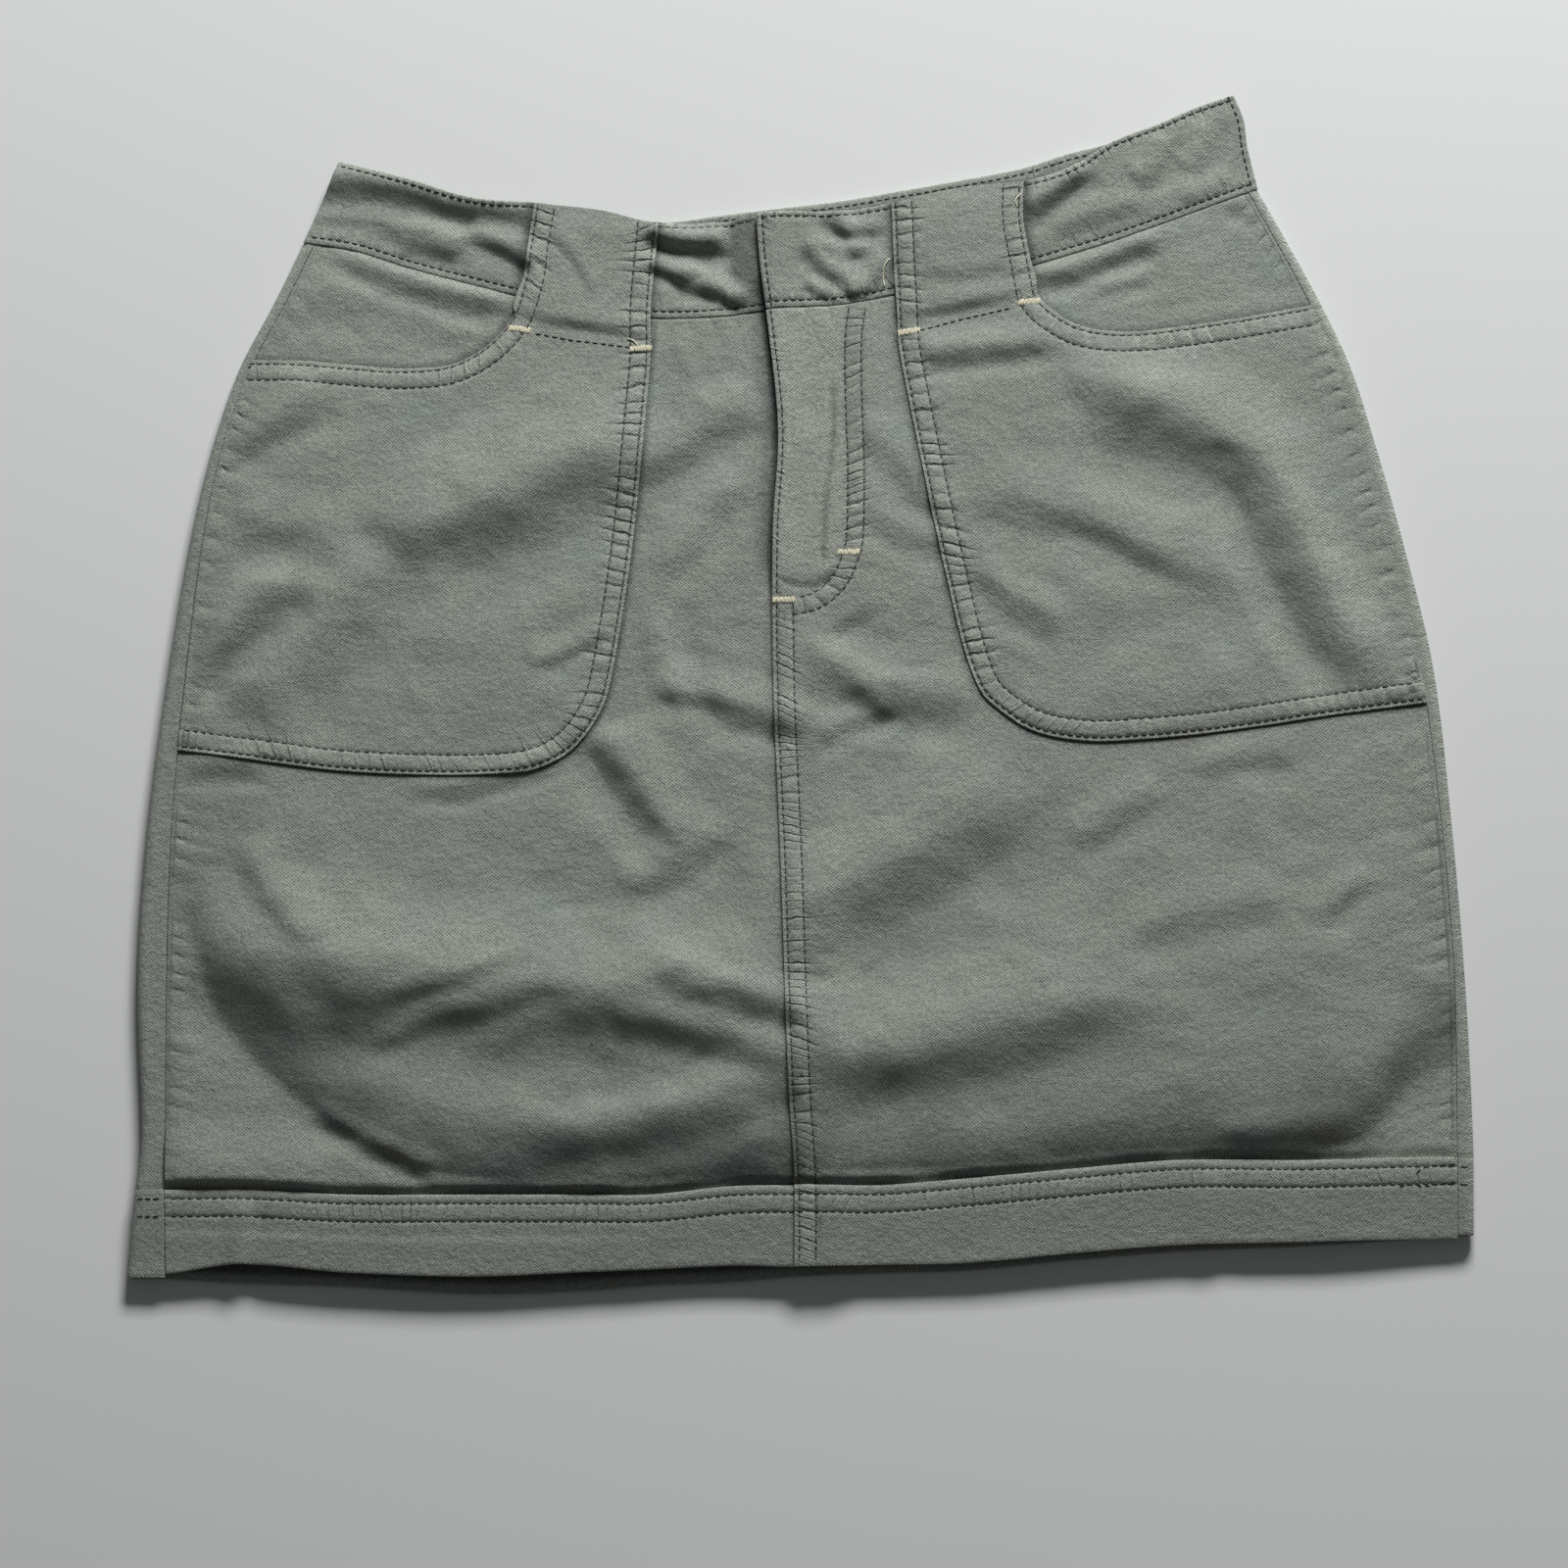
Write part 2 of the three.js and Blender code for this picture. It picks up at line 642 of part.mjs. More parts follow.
function pocketRight() {
  const seamX = shifted(rightSeam, -seamGap / 2);
  return pocket("pocketRight", pocketRightInner, pocketRightBottom, pocketRightMouth, seamX, tabRight);
}

// The inner shorts: two plain layers inside the skirt, with a narrow gap between the legs.
const shortsCols = 13;
const shortsRows = 10;
const legRows = 3;

function shorts(height) {
  const left = shifted(leftSeam, shortsInset);
  const right = shifted(rightSeam, -shortsInset);
  const place = patch(left, right, () => shortsHem, shifted(waistSeam, -shortsDrop));
  const betweenLegs = (shortsCols - 1) / 2;
  return sheet(shortsCols, shortsRows, shortsCloth, place, height, (i, j) => i !== betweenLegs || j >= legRows);
}

const shortsBackMid = panelCloth + hiddenGap + shortsCloth / 2;
const shortsFrontLow = shortsBackMid + shortsCloth + hiddenGap;
const shortsSwell = 0.4;

const shortsBack = () => shorts(() => shortsBackMid);

// The front layer swells with the skirt above it, and lies low near its own hem.
const shortsFront = () =>
  shorts((x, y) => {
    const lift = formUnder(x, y) - liftAtSides(y);
    return shortsFrontLow + shortsSwell * lift * ease((y - swellFoot(x) - 25) / 40);
  });

const twill = { color: 0x878d80, roughness: 0.92, metalness: 0 };
const twillWorn = { color: 0x8f9585, roughness: 0.9, metalness: 0 };
const inner = { color: 0x6f7468, roughness: 0.9, metalness: 0 };

const pieces = [
  ["back_panel", backPanel, twill],
  ["front_panel_left", frontPanelLeft, twill],
  ["front_panel_right", frontPanelRight, twill],
  ["pocket_left", pocketLeft, twillWorn],
  ["pocket_right", pocketRight, twillWorn],
  ["waistband_back", waistbandBack, twill],
  ["waistband_front_left", waistbandFrontLeft, twillWorn],
  ["waistband_front_right", waistbandFrontRight, twillWorn],
  ["hem_band_back", hemBandBack, twill],
  ["hem_band_side_left", () => hemBandSide(sidesOfBack.left), twill],
  ["hem_band_side_right", () => hemBandSide(sidesOfBack.right), twill],
  ["hem_band_front_left", hemBandFrontLeft, twillWorn],
  ["hem_band_front_right", hemBandFrontRight, twillWorn],
  ["shorts_back", shortsBack, inner],
  ["shorts_front", shortsFront, inner],
];

const skort = new THREE.Group();
for (const [name, build, finish] of pieces) {
  const mesh = new THREE.Mesh(build(), new THREE.MeshStandardMaterial(finish));
  mesh.name = name;
  skort.add(mesh);
}

export default skort;
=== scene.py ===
"""A cargo skort laid flat with its front up: washed twill, sewing and the stage it is seen on.

Lengths in the tables are millimetres. +X runs across the skort, +Y from the hem to the waist.
"""
import json
import math

import bpy
import numpy as np
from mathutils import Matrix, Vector


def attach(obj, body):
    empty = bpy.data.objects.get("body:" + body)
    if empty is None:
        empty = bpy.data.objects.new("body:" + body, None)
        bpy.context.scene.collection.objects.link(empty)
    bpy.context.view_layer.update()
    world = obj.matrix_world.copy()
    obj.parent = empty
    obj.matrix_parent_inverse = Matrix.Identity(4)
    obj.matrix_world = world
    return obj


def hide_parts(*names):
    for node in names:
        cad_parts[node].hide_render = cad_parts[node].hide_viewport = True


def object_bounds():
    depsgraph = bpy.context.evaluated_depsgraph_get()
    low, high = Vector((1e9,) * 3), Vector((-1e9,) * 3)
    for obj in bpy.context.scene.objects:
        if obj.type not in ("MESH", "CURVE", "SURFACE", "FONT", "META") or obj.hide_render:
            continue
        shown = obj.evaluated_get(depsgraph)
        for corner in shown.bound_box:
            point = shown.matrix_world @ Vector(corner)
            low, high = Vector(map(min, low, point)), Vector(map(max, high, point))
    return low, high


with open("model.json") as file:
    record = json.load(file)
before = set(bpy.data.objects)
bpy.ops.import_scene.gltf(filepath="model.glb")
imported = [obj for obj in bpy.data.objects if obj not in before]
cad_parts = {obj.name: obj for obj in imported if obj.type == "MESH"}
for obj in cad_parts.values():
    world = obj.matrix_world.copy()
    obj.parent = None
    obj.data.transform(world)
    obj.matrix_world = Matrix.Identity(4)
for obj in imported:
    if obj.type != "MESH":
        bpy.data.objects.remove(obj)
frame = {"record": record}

CAD_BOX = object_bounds()

bl_info = {
    "name": "Cargo skort",
    "version": (1, 0, 0),
    "blender": (4, 5, 0),
    "location": "View3D > Sidebar > Skort",
    "description": "Dresses the skort's frame in washed twill, with its sewing and a plain stage",
    "category": "Add Mesh",
}

MM = 0.001
COLOURS = {slot["slot"]: slot["base_color"] for slot in frame["record"]["materials"]}


# Walls and gaps, as in the frame

PANEL = 1.2
WAISTBAND = 2.4
HEM = 2.0
SHORTS_CLOTH = 1.0
SEAM_GAP = 0.12
LAYER_GAP = 0.45
HEM_LAP = 12
FELLED_LAP = 9
FLY_SHIELD = 28
FLY_BOTTOM = 34
WAISTBAND_UNDERLAP = 20
OVERLAP_FADE = 14
TUNNEL_BOW = 1.4
SHORTS_INSET = 24
SHORTS_HEM = -150
SHORTS_DROP = 12
SHORTS_SWELL = 0.4


def ease(value):
    """Rises smoothly from 0 to 1."""
    value = np.clip(value, 0.0, 1.0)
    return value * value * (3.0 - 2.0 * value)


def mix(a, b, share):
    return a + (b - a) * share


class Line:
    """A smooth line through two columns of a table, carried straight on past both ends."""

    def __init__(self, at, values):
        self.at = np.array(at, float)
        self.values = np.array(values, float)
        last = len(self.at) - 1
        before = np.maximum(np.arange(last + 1) - 1, 0)
        after = np.minimum(np.arange(last + 1) + 1, last)
        rises, runs = (v[after] - v[before] for v in (self.values, self.at))
        self.slopes = rises / runs

    def __call__(self, place):
        k = np.clip(np.searchsorted(self.at, place, side="right") - 1, 0, len(self.at) - 2)
        span = self.at[k + 1] - self.at[k]
        past = (place - self.at[k]) / span
        t = np.clip(past, 0.0, 1.0)
        inside = (
            (2 * t**3 - 3 * t**2 + 1) * self.values[k]
            + (t**3 - 2 * t**2 + t) * span * self.slopes[k]
            + (3 * t**2 - 2 * t**3) * self.values[k + 1]
            + (t**3 - t**2) * span * self.slopes[k + 1]
        )
        slope = np.where(past < 0, self.slopes[k], self.slopes[k + 1])
        return inside + slope * (past - t) * span


def table(text):
    """The names in a table's first line, and its rows of numbers."""
    names, *rows = (line.split() for line in text.strip().splitlines())
    return names, np.array(rows, float)


def lines(text):
    """The lines of a table: each named column against the first one."""
    at, *others = table(text)[1].T
    return [Line(at, values) for values in others]


def shifted(line, by):
    return lambda place: line(place) + by


left_fold, left_seam, right_seam, right_fold = lines("""
    y left_fold left_seam right_seam right_fold
    -225 -253 -238.5 247 253
    -195 -250.5 -239 247 253
    -170 -248 -239 247 253
    -110 -250 -239 246.5 250.5
    -50 -246.5 -237.5 242 246
    10 -239 -232 234.5 239.5
    60 -231 -226 222.5 228
    95 -223 -219 213 218.5
    125 -213 -208.6 204 209.3
    150 -200.3 -195.8 193.6 198
    175 -188.5 -184.2 180.6 184.8
    200 -178 -174 167 171
""")

waist_top, waist_seam, back_top, back_seam = lines("""
    x front_top front_seam back_top back_seam
    -190 209 173.2 207 173.2
    -170 203.5 170 201.5 169.6
    -150 198 163.5 196 163.3
    -125 190.5 156.7 189 157
    -100 188.7 150.5 187 152
    -75 185.8 146 184.5 148.6
    -54 180.8 143.5 182 147.2
    -30 181.3 144.2 185 148.6
    -10 185 147 187.5 151
    15 185.3 148.6 190.5 154
    35 188.8 152.6 194 157.5
    60 194.5 157.5 198.5 162
    85 197.4 163.2 203.5 167.5
    102 202 168.2 209 172
    118 212.3 173.3 213 176
    136 219.5 179.8 218.5 181
    150 226 185.2 225 185.8
    165 231.5 190.8 230.5 191
    176 236 194.6 235 194.6
""")

band_top, front_hem, back_hem = lines("""
    x band_top front_hem back_hem
    -253 -191 -223.5 -224
    -238 -191 -222.6 -224
    -210 -191 -219 -225.5
    -170 -193 -222.3 -226.8
    -122 -193 -223.7 -229.6
    -81 -193 -222 -228.3
    -57 -193 -221 -226.4
    -25 -189.8 -219.5 -225
    -2 -189.5 -220 -223
    30 -189.5 -219.2 -221.7
    62 -187 -218.5 -220.7
    100 -183.5 -215 -217
    142 -180 -211.7 -213.5
    190 -180 -210.5 -211.5
    238 -178.6 -209.2 -208.5
    253 -179 -209 -207.5
""")

centre_edge = Line(
    at=[-224, -190, -150, -60, 0, 60, 100, 146, 165, 186],
    values=[-2.3, -2.3, -4.7, -7.8, -10.3, -10.5, -8.5, -13, -15.5, -17],
)

right_end = Line(
    at=[190, 194, 211, 222, 232],
    values=[175.5, 174.4, 170.5, 169, 165],
)

swell_foot = Line(
    at=[-256, -243, -229, -220, -199, -171, -142, -110, -60, 0, 60, 140, 196, 213, 228, 249, 256],
    values=[-52, -66, -95, -122, -148, -169, -183, -188, -188, -185, -182.5, -176, -176, -170,
        -152, -133, -128],
)

crown_lift = Line(
    at=[0, 5, 13, 28, 60, 110, 180, 260, 315, 345, 400],
    values=[1.6, 3.6, 6.1, 8.6, 8.2, 6, 4.6, 3.4, 1.6, 0.6, 0.4],
)

lift_at_sides = Line(
    at=[-225, 60, 130, 165, 190, 232],
    values=[5.2, 5.2, 5, 4.6, 4.1, 3.8],
)

tab_left_outer, tab_left_inner = lines("""
    y outer inner
    136 -112 -57
    146 -109 -57
    160 -105.2 -56
    172 -103.7 -54.8
    190 -101 -53.5
""")

tab_right_inner, tab_right_outer = lines("""
    y inner outer
    136 37 91
    152 36.4 90
    166 35.6 87.6
    182 35 84.8
    198 34 85
""")

# Pocket outlines, x and y, from the tab's root round to the side seam.
POCKET_LEFT = {
    "inner": [
        (-57, 139), (-57, 128), (-59, 104), (-63, 62), (-67, 31), (-72, 2), (-75.5, -9), (-81, -18),
    ],
    "bottom": [
        (-81, -18), (-88, -25), (-97, -30), (-108, -32.5), (-133, -33.5), (-171, -32),
        (-199, -28.5), (-234.5, -23),
    ],
    "mouth": [
        (-109, 146), (-115, 137.5), (-124, 130), (-136, 125), (-154, 123.8), (-170, 125),
        (-191, 127), (-210, 127.5),
    ],
}
POCKET_RIGHT = {
    "inner": [
        (37, 138), (38, 129), (43.5, 100), (49.5, 70), (56, 40), (62, 15), (68, -1), (76, -9),
    ],
    "bottom": [
        (76, -9), (84, -14.5), (93, -18), (105, -20), (118, -20.3), (147, -18), (175, -14.3),
        (204, -9.5), (236, -4.7),
    ],
    "mouth": [
        (90, 153), (93, 149), (98, 145), (104.5, 141.3), (114, 138.8), (127, 138.3), (146, 140.5),
        (168, 144), (193.5, 148.7),
    ],
}

# The fly's curved rows of stitching: the inner row. The outer one runs beside it.
FLY_CURVE = [
    (18.5, 148), (17, 135), (17, 116), (17.5, 100), (18, 85), (17.5, 58), (15.5, 50.5), (13, 44),
    (8, 38.5), (2.5, 35.5), (-4, 34.5),
]

# Folds: the line down the middle of a fold's steep side, the width of that side, how far the
# cloth takes to settle beyond it, and the height from trough to crest. A fold that runs towards
# +X has its crest on the side of the waist.
FOLDS = """
    x0 y0 x1 y1 x2 y2 steep beyond height
    -160 40 -106 68 -46 92 26 32 7.4
    -66 80 -40 92 -10 108 14 16 3.0
    -197 -22 -176 20 -152 54 20 24 4.2
    -182 66 -158 58 -134 45 14 16 1.7
    -230 -8 -216 16 -188 42 15 14 5.0
    -216 60 -192 57 -168 50 15 14 2.2
    -226 88 -204 96 -178 115 12 13 2.8
    -104 7 -88 13 -70 23 6 9 1.5
    -184 170 -144 155 -104 145 9 8 3.0
    -52 38 -36 58 -18 81 11 14 1.9
    -34 -18 -44 8 -51 34 10 11 2.0
    -56 4 -29 -8 6 -16 10 13 3.0
    -80 -16 -66 -40 -47 -66 11 18 4.6
    -70 -81 -48 -70 -26 -56 11 13 2.3
    -213 -56 -203 -80 -184 -105 10 18 2.4
    -242 -29 -222 -33 -200 -31 9 6 2.0
    -152 -42 -115 -38 -84 -28 8 6 1.5
    -254 -106 -120 -126 34 -131 32 36 8.6
    -246 -94 -200 -118 -140 -128 24 22 1.8
    -174 -138 -122 -125 -72 -110 7 8 1.1
    -162 -120 -132 -113 -98 -103 6 7 0.9
    -62 -111 -30 -119 8 -128 11 12 2.7
    -72 -125 -40 -136 0 -145 10 10 1.7
    -186 -164 -160 -177 -136 -190 7 7 2.4
    -120 -176 -56 -170 4 -146 16 12 3.8
    -20 -110 40 -77 98 -37 26 40 7.0
    -34 -158 52 -144 148 -121 24 32 6.6
    -4 6 26 -3 68 -12 15 16 3.2
    -2 14 15 6 36 -13 9 10 1.3
    2 -19 17 -16 38 -5 8 8 1.6
    20 102 36 87 54 63 9 11 1.7
    24 70 40 57 56 52 9 10 1.3
    96 104 152 92 186 56 22 28 6.8
    168 88 188 42 216 -10 19 18 7.4
    56 73 104 63 162 33 12 20 3.2
    62 48 78 32 100 21 12 12 2.2
    40 126 66 128 100 132 9 9 2.6
    98 121 116 112 138 104 12 14 1.6
    84 155 112 165 142 175 8 7 2.9
    155 187 171 185 186 175 8 7 2.4
    -205 150 -160 146 -118 138 18 14 1.5
    192 16 142 14 98 3 24 20 2.2
    112 155 124 157 136 158 5 6 1.1
    194 -92 204 -83 218 -72 8 10 1.9
    102 -62 120 -52 140 -37 10 13 1.8
    148 -37 168 -30 192 -28 9 11 1.5
    120 -100 152 -89 184 -84 12 14 1.5
    150 -176 184 -172 214 -166 8 8 1.2
    -213 -244 -208 -218 -204 -194 7 9 1.9
    156 -232 158 -206 160 -184 8 12 0.9
"""


def spline(points, step=2.0):
    """A smooth run of points through a few given ones, evenly spaced."""
    points = np.array(points, float)
    padded = np.vstack([points[:1], points, points[-1:]])
    t = np.linspace(0, 1, 16, endpoint=False)[:, None]
    runs = []
    for a, b, c, d in zip(padded, padded[1:], padded[2:], padded[3:]):
        first, second = (c - a) / 2, (d - b) / 2
        cubic = (2 * b - 2 * c + first + second) * t**3
        runs.append(cubic + (-3 * b + 3 * c - 2 * first - second) * t**2 + first * t + b)
    return evenly(np.vstack(runs + [points[-1:]]), step)


def distances(points):
    """How far along a run each of its points is."""
    return np.concatenate([[0], np.cumsum(np.hypot(*np.diff(points, axis=0).T))])


def place_at(points, distance):
    along = distances(points)
    return np.interp(distance, along, points[:, 0]), np.interp(distance, along, points[:, 1])


def part_way(points, share):
    """The place at a share of a run's length."""
    return place_at(points, np.asarray(share) * distances(points)[-1])


def evenly(points, step):
    """Spaces points evenly along a run."""
    points = np.asarray(points, float)
    length = distances(points)[-1]
    count = max(2, int(round(length / step)) + 1)
    return np.column_stack(place_at(points, np.linspace(0, length, count)))


class Seam:
    """A line over the cloth. `inside` is 1 where the piece it edges lies on its left, and -1 where
    the piece lies on its right. `near` gives how far along the line places are, and how far in."""

    BATCH = 20000

    def __init__(self, points, inside=1, step=3.0):
        self.inside = inside
        self.points = evenly(points, step)
        self.runs = np.diff(self.points, axis=0)
        self.lengths = np.hypot(*self.runs.T)
        self.along = distances(self.points)

    def near(self, x, y):
        x, y = np.broadcast_arrays(np.asarray(x, float), np.asarray(y, float))
        places = np.column_stack([x.ravel(), y.ravel()])
        middles = self.points[:-1] + self.runs / 2
        closest = np.empty(len(places), int)
        for first in range(0, len(places), self.BATCH):
            some = slice(first, first + self.BATCH)
            apart = (middles**2).sum(axis=1) - 2 * places[some] @ middles.T
            closest[some] = apart.argmin(axis=1)
        run, length = self.runs[closest], self.lengths[closest]
        away = places - self.points[closest]
        t = np.clip((away * run).sum(axis=1) / length**2, 0.0, 1.0)
        distance = np.hypot(*(away - run * t[:, None]).T)
        on_right = run[:, 0] * away[:, 1] - run[:, 1] * away[:, 0] < 0
        inside = distance * np.where(on_right, -1.0, 1.0) * self.inside
        return (self.along[closest] + t * length).reshape(x.shape), inside.reshape(x.shape)

    def beside(self, offset):
        """Points along a line that keeps to one side of the seam."""
        ahead = np.gradient(self.points, axis=0)
        ahead /= np.hypot(*ahead.T)[:, None]
        return self.points + offset * self.inside * np.column_stack([-ahead[:, 1], ahead[:, 0]])


# Uneven waves and crumple, the same on every run

def waves(place, seed):
    """Smooth uneven waves along a line, from -1 to 1."""
    values = np.random.RandomState(seed).uniform(-1, 1, 512)
    low = np.floor(place).astype(int)
    return mix(values[low % 512], values[(low + 1) % 512], ease(place - low))


def dents(x, y, cell, seed):
    """Smooth uneven dents over the cloth, from -1 to 1, about a cell across."""
    values = np.random.RandomState(seed).uniform(-1, 1, (97, 97))
    i, j = np.floor(x / cell).astype(int), np.floor(y / cell).astype(int)
    across, up = ease(x / cell - i), ease(y / cell - j)

    def level(k):
        return mix(values[i % 97, k % 97], values[(i + 1) % 97, k % 97], across)

    return mix(level(j), level(j + 1), up)


def crumple(x, y, seed):
    """Handled cloth: broad dents, soft ridges where they meet, and fine wrinkles across them."""
    sway_x, sway_y = 9 * dents(x, y, 31, seed + 1), 9 * dents(x, y, 31, seed + 2)
    broad = dents(x + sway_x, y + sway_y, 46, seed + 3)
    ridges = 1 - np.sqrt(dents(x + 1.4 * sway_x, y + 1.4 * sway_y, 24, seed + 4) ** 2 + 0.03)
    across, up = 0.93 * x + 0.36 * y + sway_y, 0.93 * y - 0.36 * x + sway_x
    wrinkles = dents(0.66 * across, up, 6.5, seed + 5)
    small = dents(across, up, 12, seed + 6)
    return 0.5 * broad + 0.4 * ridges**2 + 0.13 * wrinkles + 0.2 * small


def beat(along, spacing, seed):
    """Where each pucker falls along a seam, and how strong it is: both uneven."""
    strength = np.maximum(0.15, 0.62 + 0.55 * waves(along / (1.3 * spacing), seed + 1))
    return along / spacing + 0.6 * waves(along / (2.7 * spacing), seed), strength


def ripple(phase, strength):
    """Round swellings with a sharp hollow between them."""
    return strength * (2.2 * np.abs(np.sin(np.pi * phase)) ** 0.8 - 1.2)


def bell(value):
    """1 at 0, and soon nothing on both sides."""
    return np.exp(-(value**2))


# The form: heights of the middle of each wall

def form_under(x, y):
    inside = np.minimum(x - left_fold(y), right_fold(y) - x)
    above = np.maximum(0, y - swell_foot(x))
    return lift_at_sides(y) + crown_lift(above) * ease(inside / 60)


class Fold(Seam):
    """A fold that runs through every layer of the cloth, and fades at both ends."""

    LONG = 90

    def __init__(self, x0, y0, x1, y1, x2, y2, steep, beyond, height):
        start, middle, end = (np.array(p, float) for p in ((x0, y0), (x1, y1), (x2, y2)))
        pull = 2 * middle - (start + end) / 2
        t = np.linspace(0, 1, 17)[:, None]
        super().__init__((1 - t) ** 2 * start + 2 * t * (1 - t) * pull + t**2 * end, step=4.0)
        self.steep, self.beyond, self.height = steep, beyond, height
        reach = steep / 2 + beyond
        self.low, self.high = self.points.min(axis=0) - reach, self.points.max(axis=0) + reach

    def over(self, x, y):
        height = np.zeros(x.shape)
        close = (x > self.low[0]) & (x < self.high[0]) & (y > self.low[1]) & (y < self.high[1])
        if close.any():
            along, across = self.near(x[close], y[close])
            share = along / self.along[-1]
            beyond = np.where(across > 0, self.beyond, 0.8 * self.beyond)
            settled = ease((np.abs(across) - self.steep / 2) / beyond)
            end = 0.3 if self.along[-1] > self.LONG else 0.2
            fade = ease(share / end) * ease((1 - share) / end)
            step = ease(across / self.steep + 0.5) - 0.4
            height[close] = self.height * step * (1 - settled) * fade
        return height


def folds_of(text):
    names, rows = table(text)
    return [Fold(**dict(zip(names, row))) for row in rows]


def folded(folds, x, y):
    """The height that folds give the cloth. Their lines waver a little."""
    x, y = np.broadcast_arrays(np.asarray(x, float), np.asarray(y, float))
    wander_x = x + 2.4 * dents(x, y, 27, 301) + 0.9 * dents(x, y, 9, 303)
    wander_y = y + 2.4 * dents(x, y, 27, 302) + 0.9 * dents(x, y, 9, 304)
    return sum(fold.over(wander_x, wander_y) for fold in folds)


FRONT_FOLDS = folds_of(FOLDS)
BAND_FOLDS = folds_of("""
    x0 y0 x1 y1 x2 y2 steep beyond height
    -204 200 -150 189 -94 179 11 8 4.8
    -130 177 -117 170 -102 159 6 8 2.9
    -154 172 -140 169 -126 168 7 8 1.6
    -62 178 -44 171 -26 175 7 8 4.6
    -60 164 -48 160 -36 164 5 6 2.6
    -50 157 -34 155 -18 147 6 7 3.4
    -29 192 -24 172 -21 152 7 7 3.4
    0 172 12 163 24 149 6 7 2.3
    20 149 28 158 36 170 6 7 2.0
    2 158 10 152 18 150 4 5 1.3
    6 182 20 178 34 181 5 6 1.5
    8 190 16 180 20 166 6 7 2
    -98 178 -84 166 -80 152 5 6 0.9
    -60 186 -48 182 -34 184 5 6 1.6
    10 174 17 168 24 172 4 5 1.5
    96 176 112 180 130 190 6 7 1.3
    140 190 152 192 164 200 6 7 1.1
    44 162 60 158 84 166 6 7 0.9
    -190 184 -160 180 -118 164 9 9 1.6
    82 183 98 190 114 201 8 8 3.8
    124 195 134 202 140 216 8 9 2
    144 199 152 208 156 222 8 9 1.6
""")


def fold_height(x, y):
    """The folds of the front, settled again at its seams."""
    sides = ease(np.minimum(x - left_seam(y), right_seam(y) - x) / 13)
    return folded(FRONT_FOLDS, x, y) * sides * ease((waist_seam(x) + 1 - y) / 5)


def laid(x, y):
    """The front as it lies: its form and its folds."""
    return form_under(x, y) + fold_height(x, y)


def underlap(y):
    return mix(FELLED_LAP, FLY_SHIELD, ease((y - FLY_BOTTOM + 6) / 14))


def overlap_rise(x, y):
    past = x - centre_edge(y) - underlap(y + 9) - 5
    return (PANEL + LAYER_GAP) * (1 - ease(past / OVERLAP_FADE))


def waistband_under(x, y):
    inside = np.minimum(x - left_fold(y), right_end(y) - x)
    return mix(2.7, 4.9, ease(inside / 45))


# The seams and edges that stitching and puckers follow. Distances into the sewn piece are positive.

def up_line(x_line, low, high):
    y = np.arange(low, high + 1, 3.0)
    return np.column_stack([x_line(y), y])


def across_line(y_line, low, high):
    x = np.arange(low, high + 1, 3.0)
    return np.column_stack([x, y_line(x)])


def pocket_edges(outline, tab_inner, tab_outer, inside):
    """The edge from the side seam round the bottom and up the tab, and the mouth's edge."""
    bottom, inner, mouth = (spline(outline[name])[::-1] for name in ("bottom", "inner", "mouth"))
    tabs = [
        up_line(tab, outline[name][0][1] + 3, waist_top(tab(180)))
        for name, tab in (("inner", tab_inner), ("mouth", tab_outer))
    ]
    return (
        Seam(np.vstack([bottom, inner[1:], tabs[0]]), inside),
        Seam(np.vstack([mouth, tabs[1]]), -inside),
    )


SIDE_LEFT = Seam(up_line(left_seam, -222, 174), -1)
SIDE_RIGHT = Seam(up_line(right_seam, -208, 195), 1)
WAIST = Seam(across_line(waist_seam, -190, 176), 1)
WAIST_TOP = Seam(across_line(waist_top, -184, 168), -1)
BACK_TOP = Seam(across_line(back_top, -190, 172), -1)
HEM_TOP = Seam(across_line(band_top, -240, 248), -1)
FRONT_HEM = Seam(across_line(front_hem, -240, 248), 1)
FLY = Seam(up_line(centre_edge, -221, 186), -1)
FLY_J = Seam(spline(FLY_CURVE), 1)
FLY_FOOT = Seam(spline([(-12, 43.5), (-6, 40.5), (2, 38.8), (9, 40.5), (15, 46)]), 1)
ZIP = Seam(spline([(8, 36), (8, 43), (9, 69), (12, 96), (12, 128)]), 1)
WAISTBAND_END = Seam(up_line(right_end, 190, 232), 1)
LEFT_EDGE, LEFT_MOUTH = pocket_edges(POCKET_LEFT, tab_left_inner, tab_left_outer, 1)
RIGHT_EDGE, RIGHT_MOUTH = pocket_edges(POCKET_RIGHT, tab_right_inner, tab_right_outer, -1)

TWIN_ROWS = (1.5, 7.7)
HEM_ROWS = (3.4, 10)
CENTRE_ROWS = (1.8, 8.0)
FLY_J_ROWS = (0, 6.2)
FAR_FROM_ROWS = 9.0


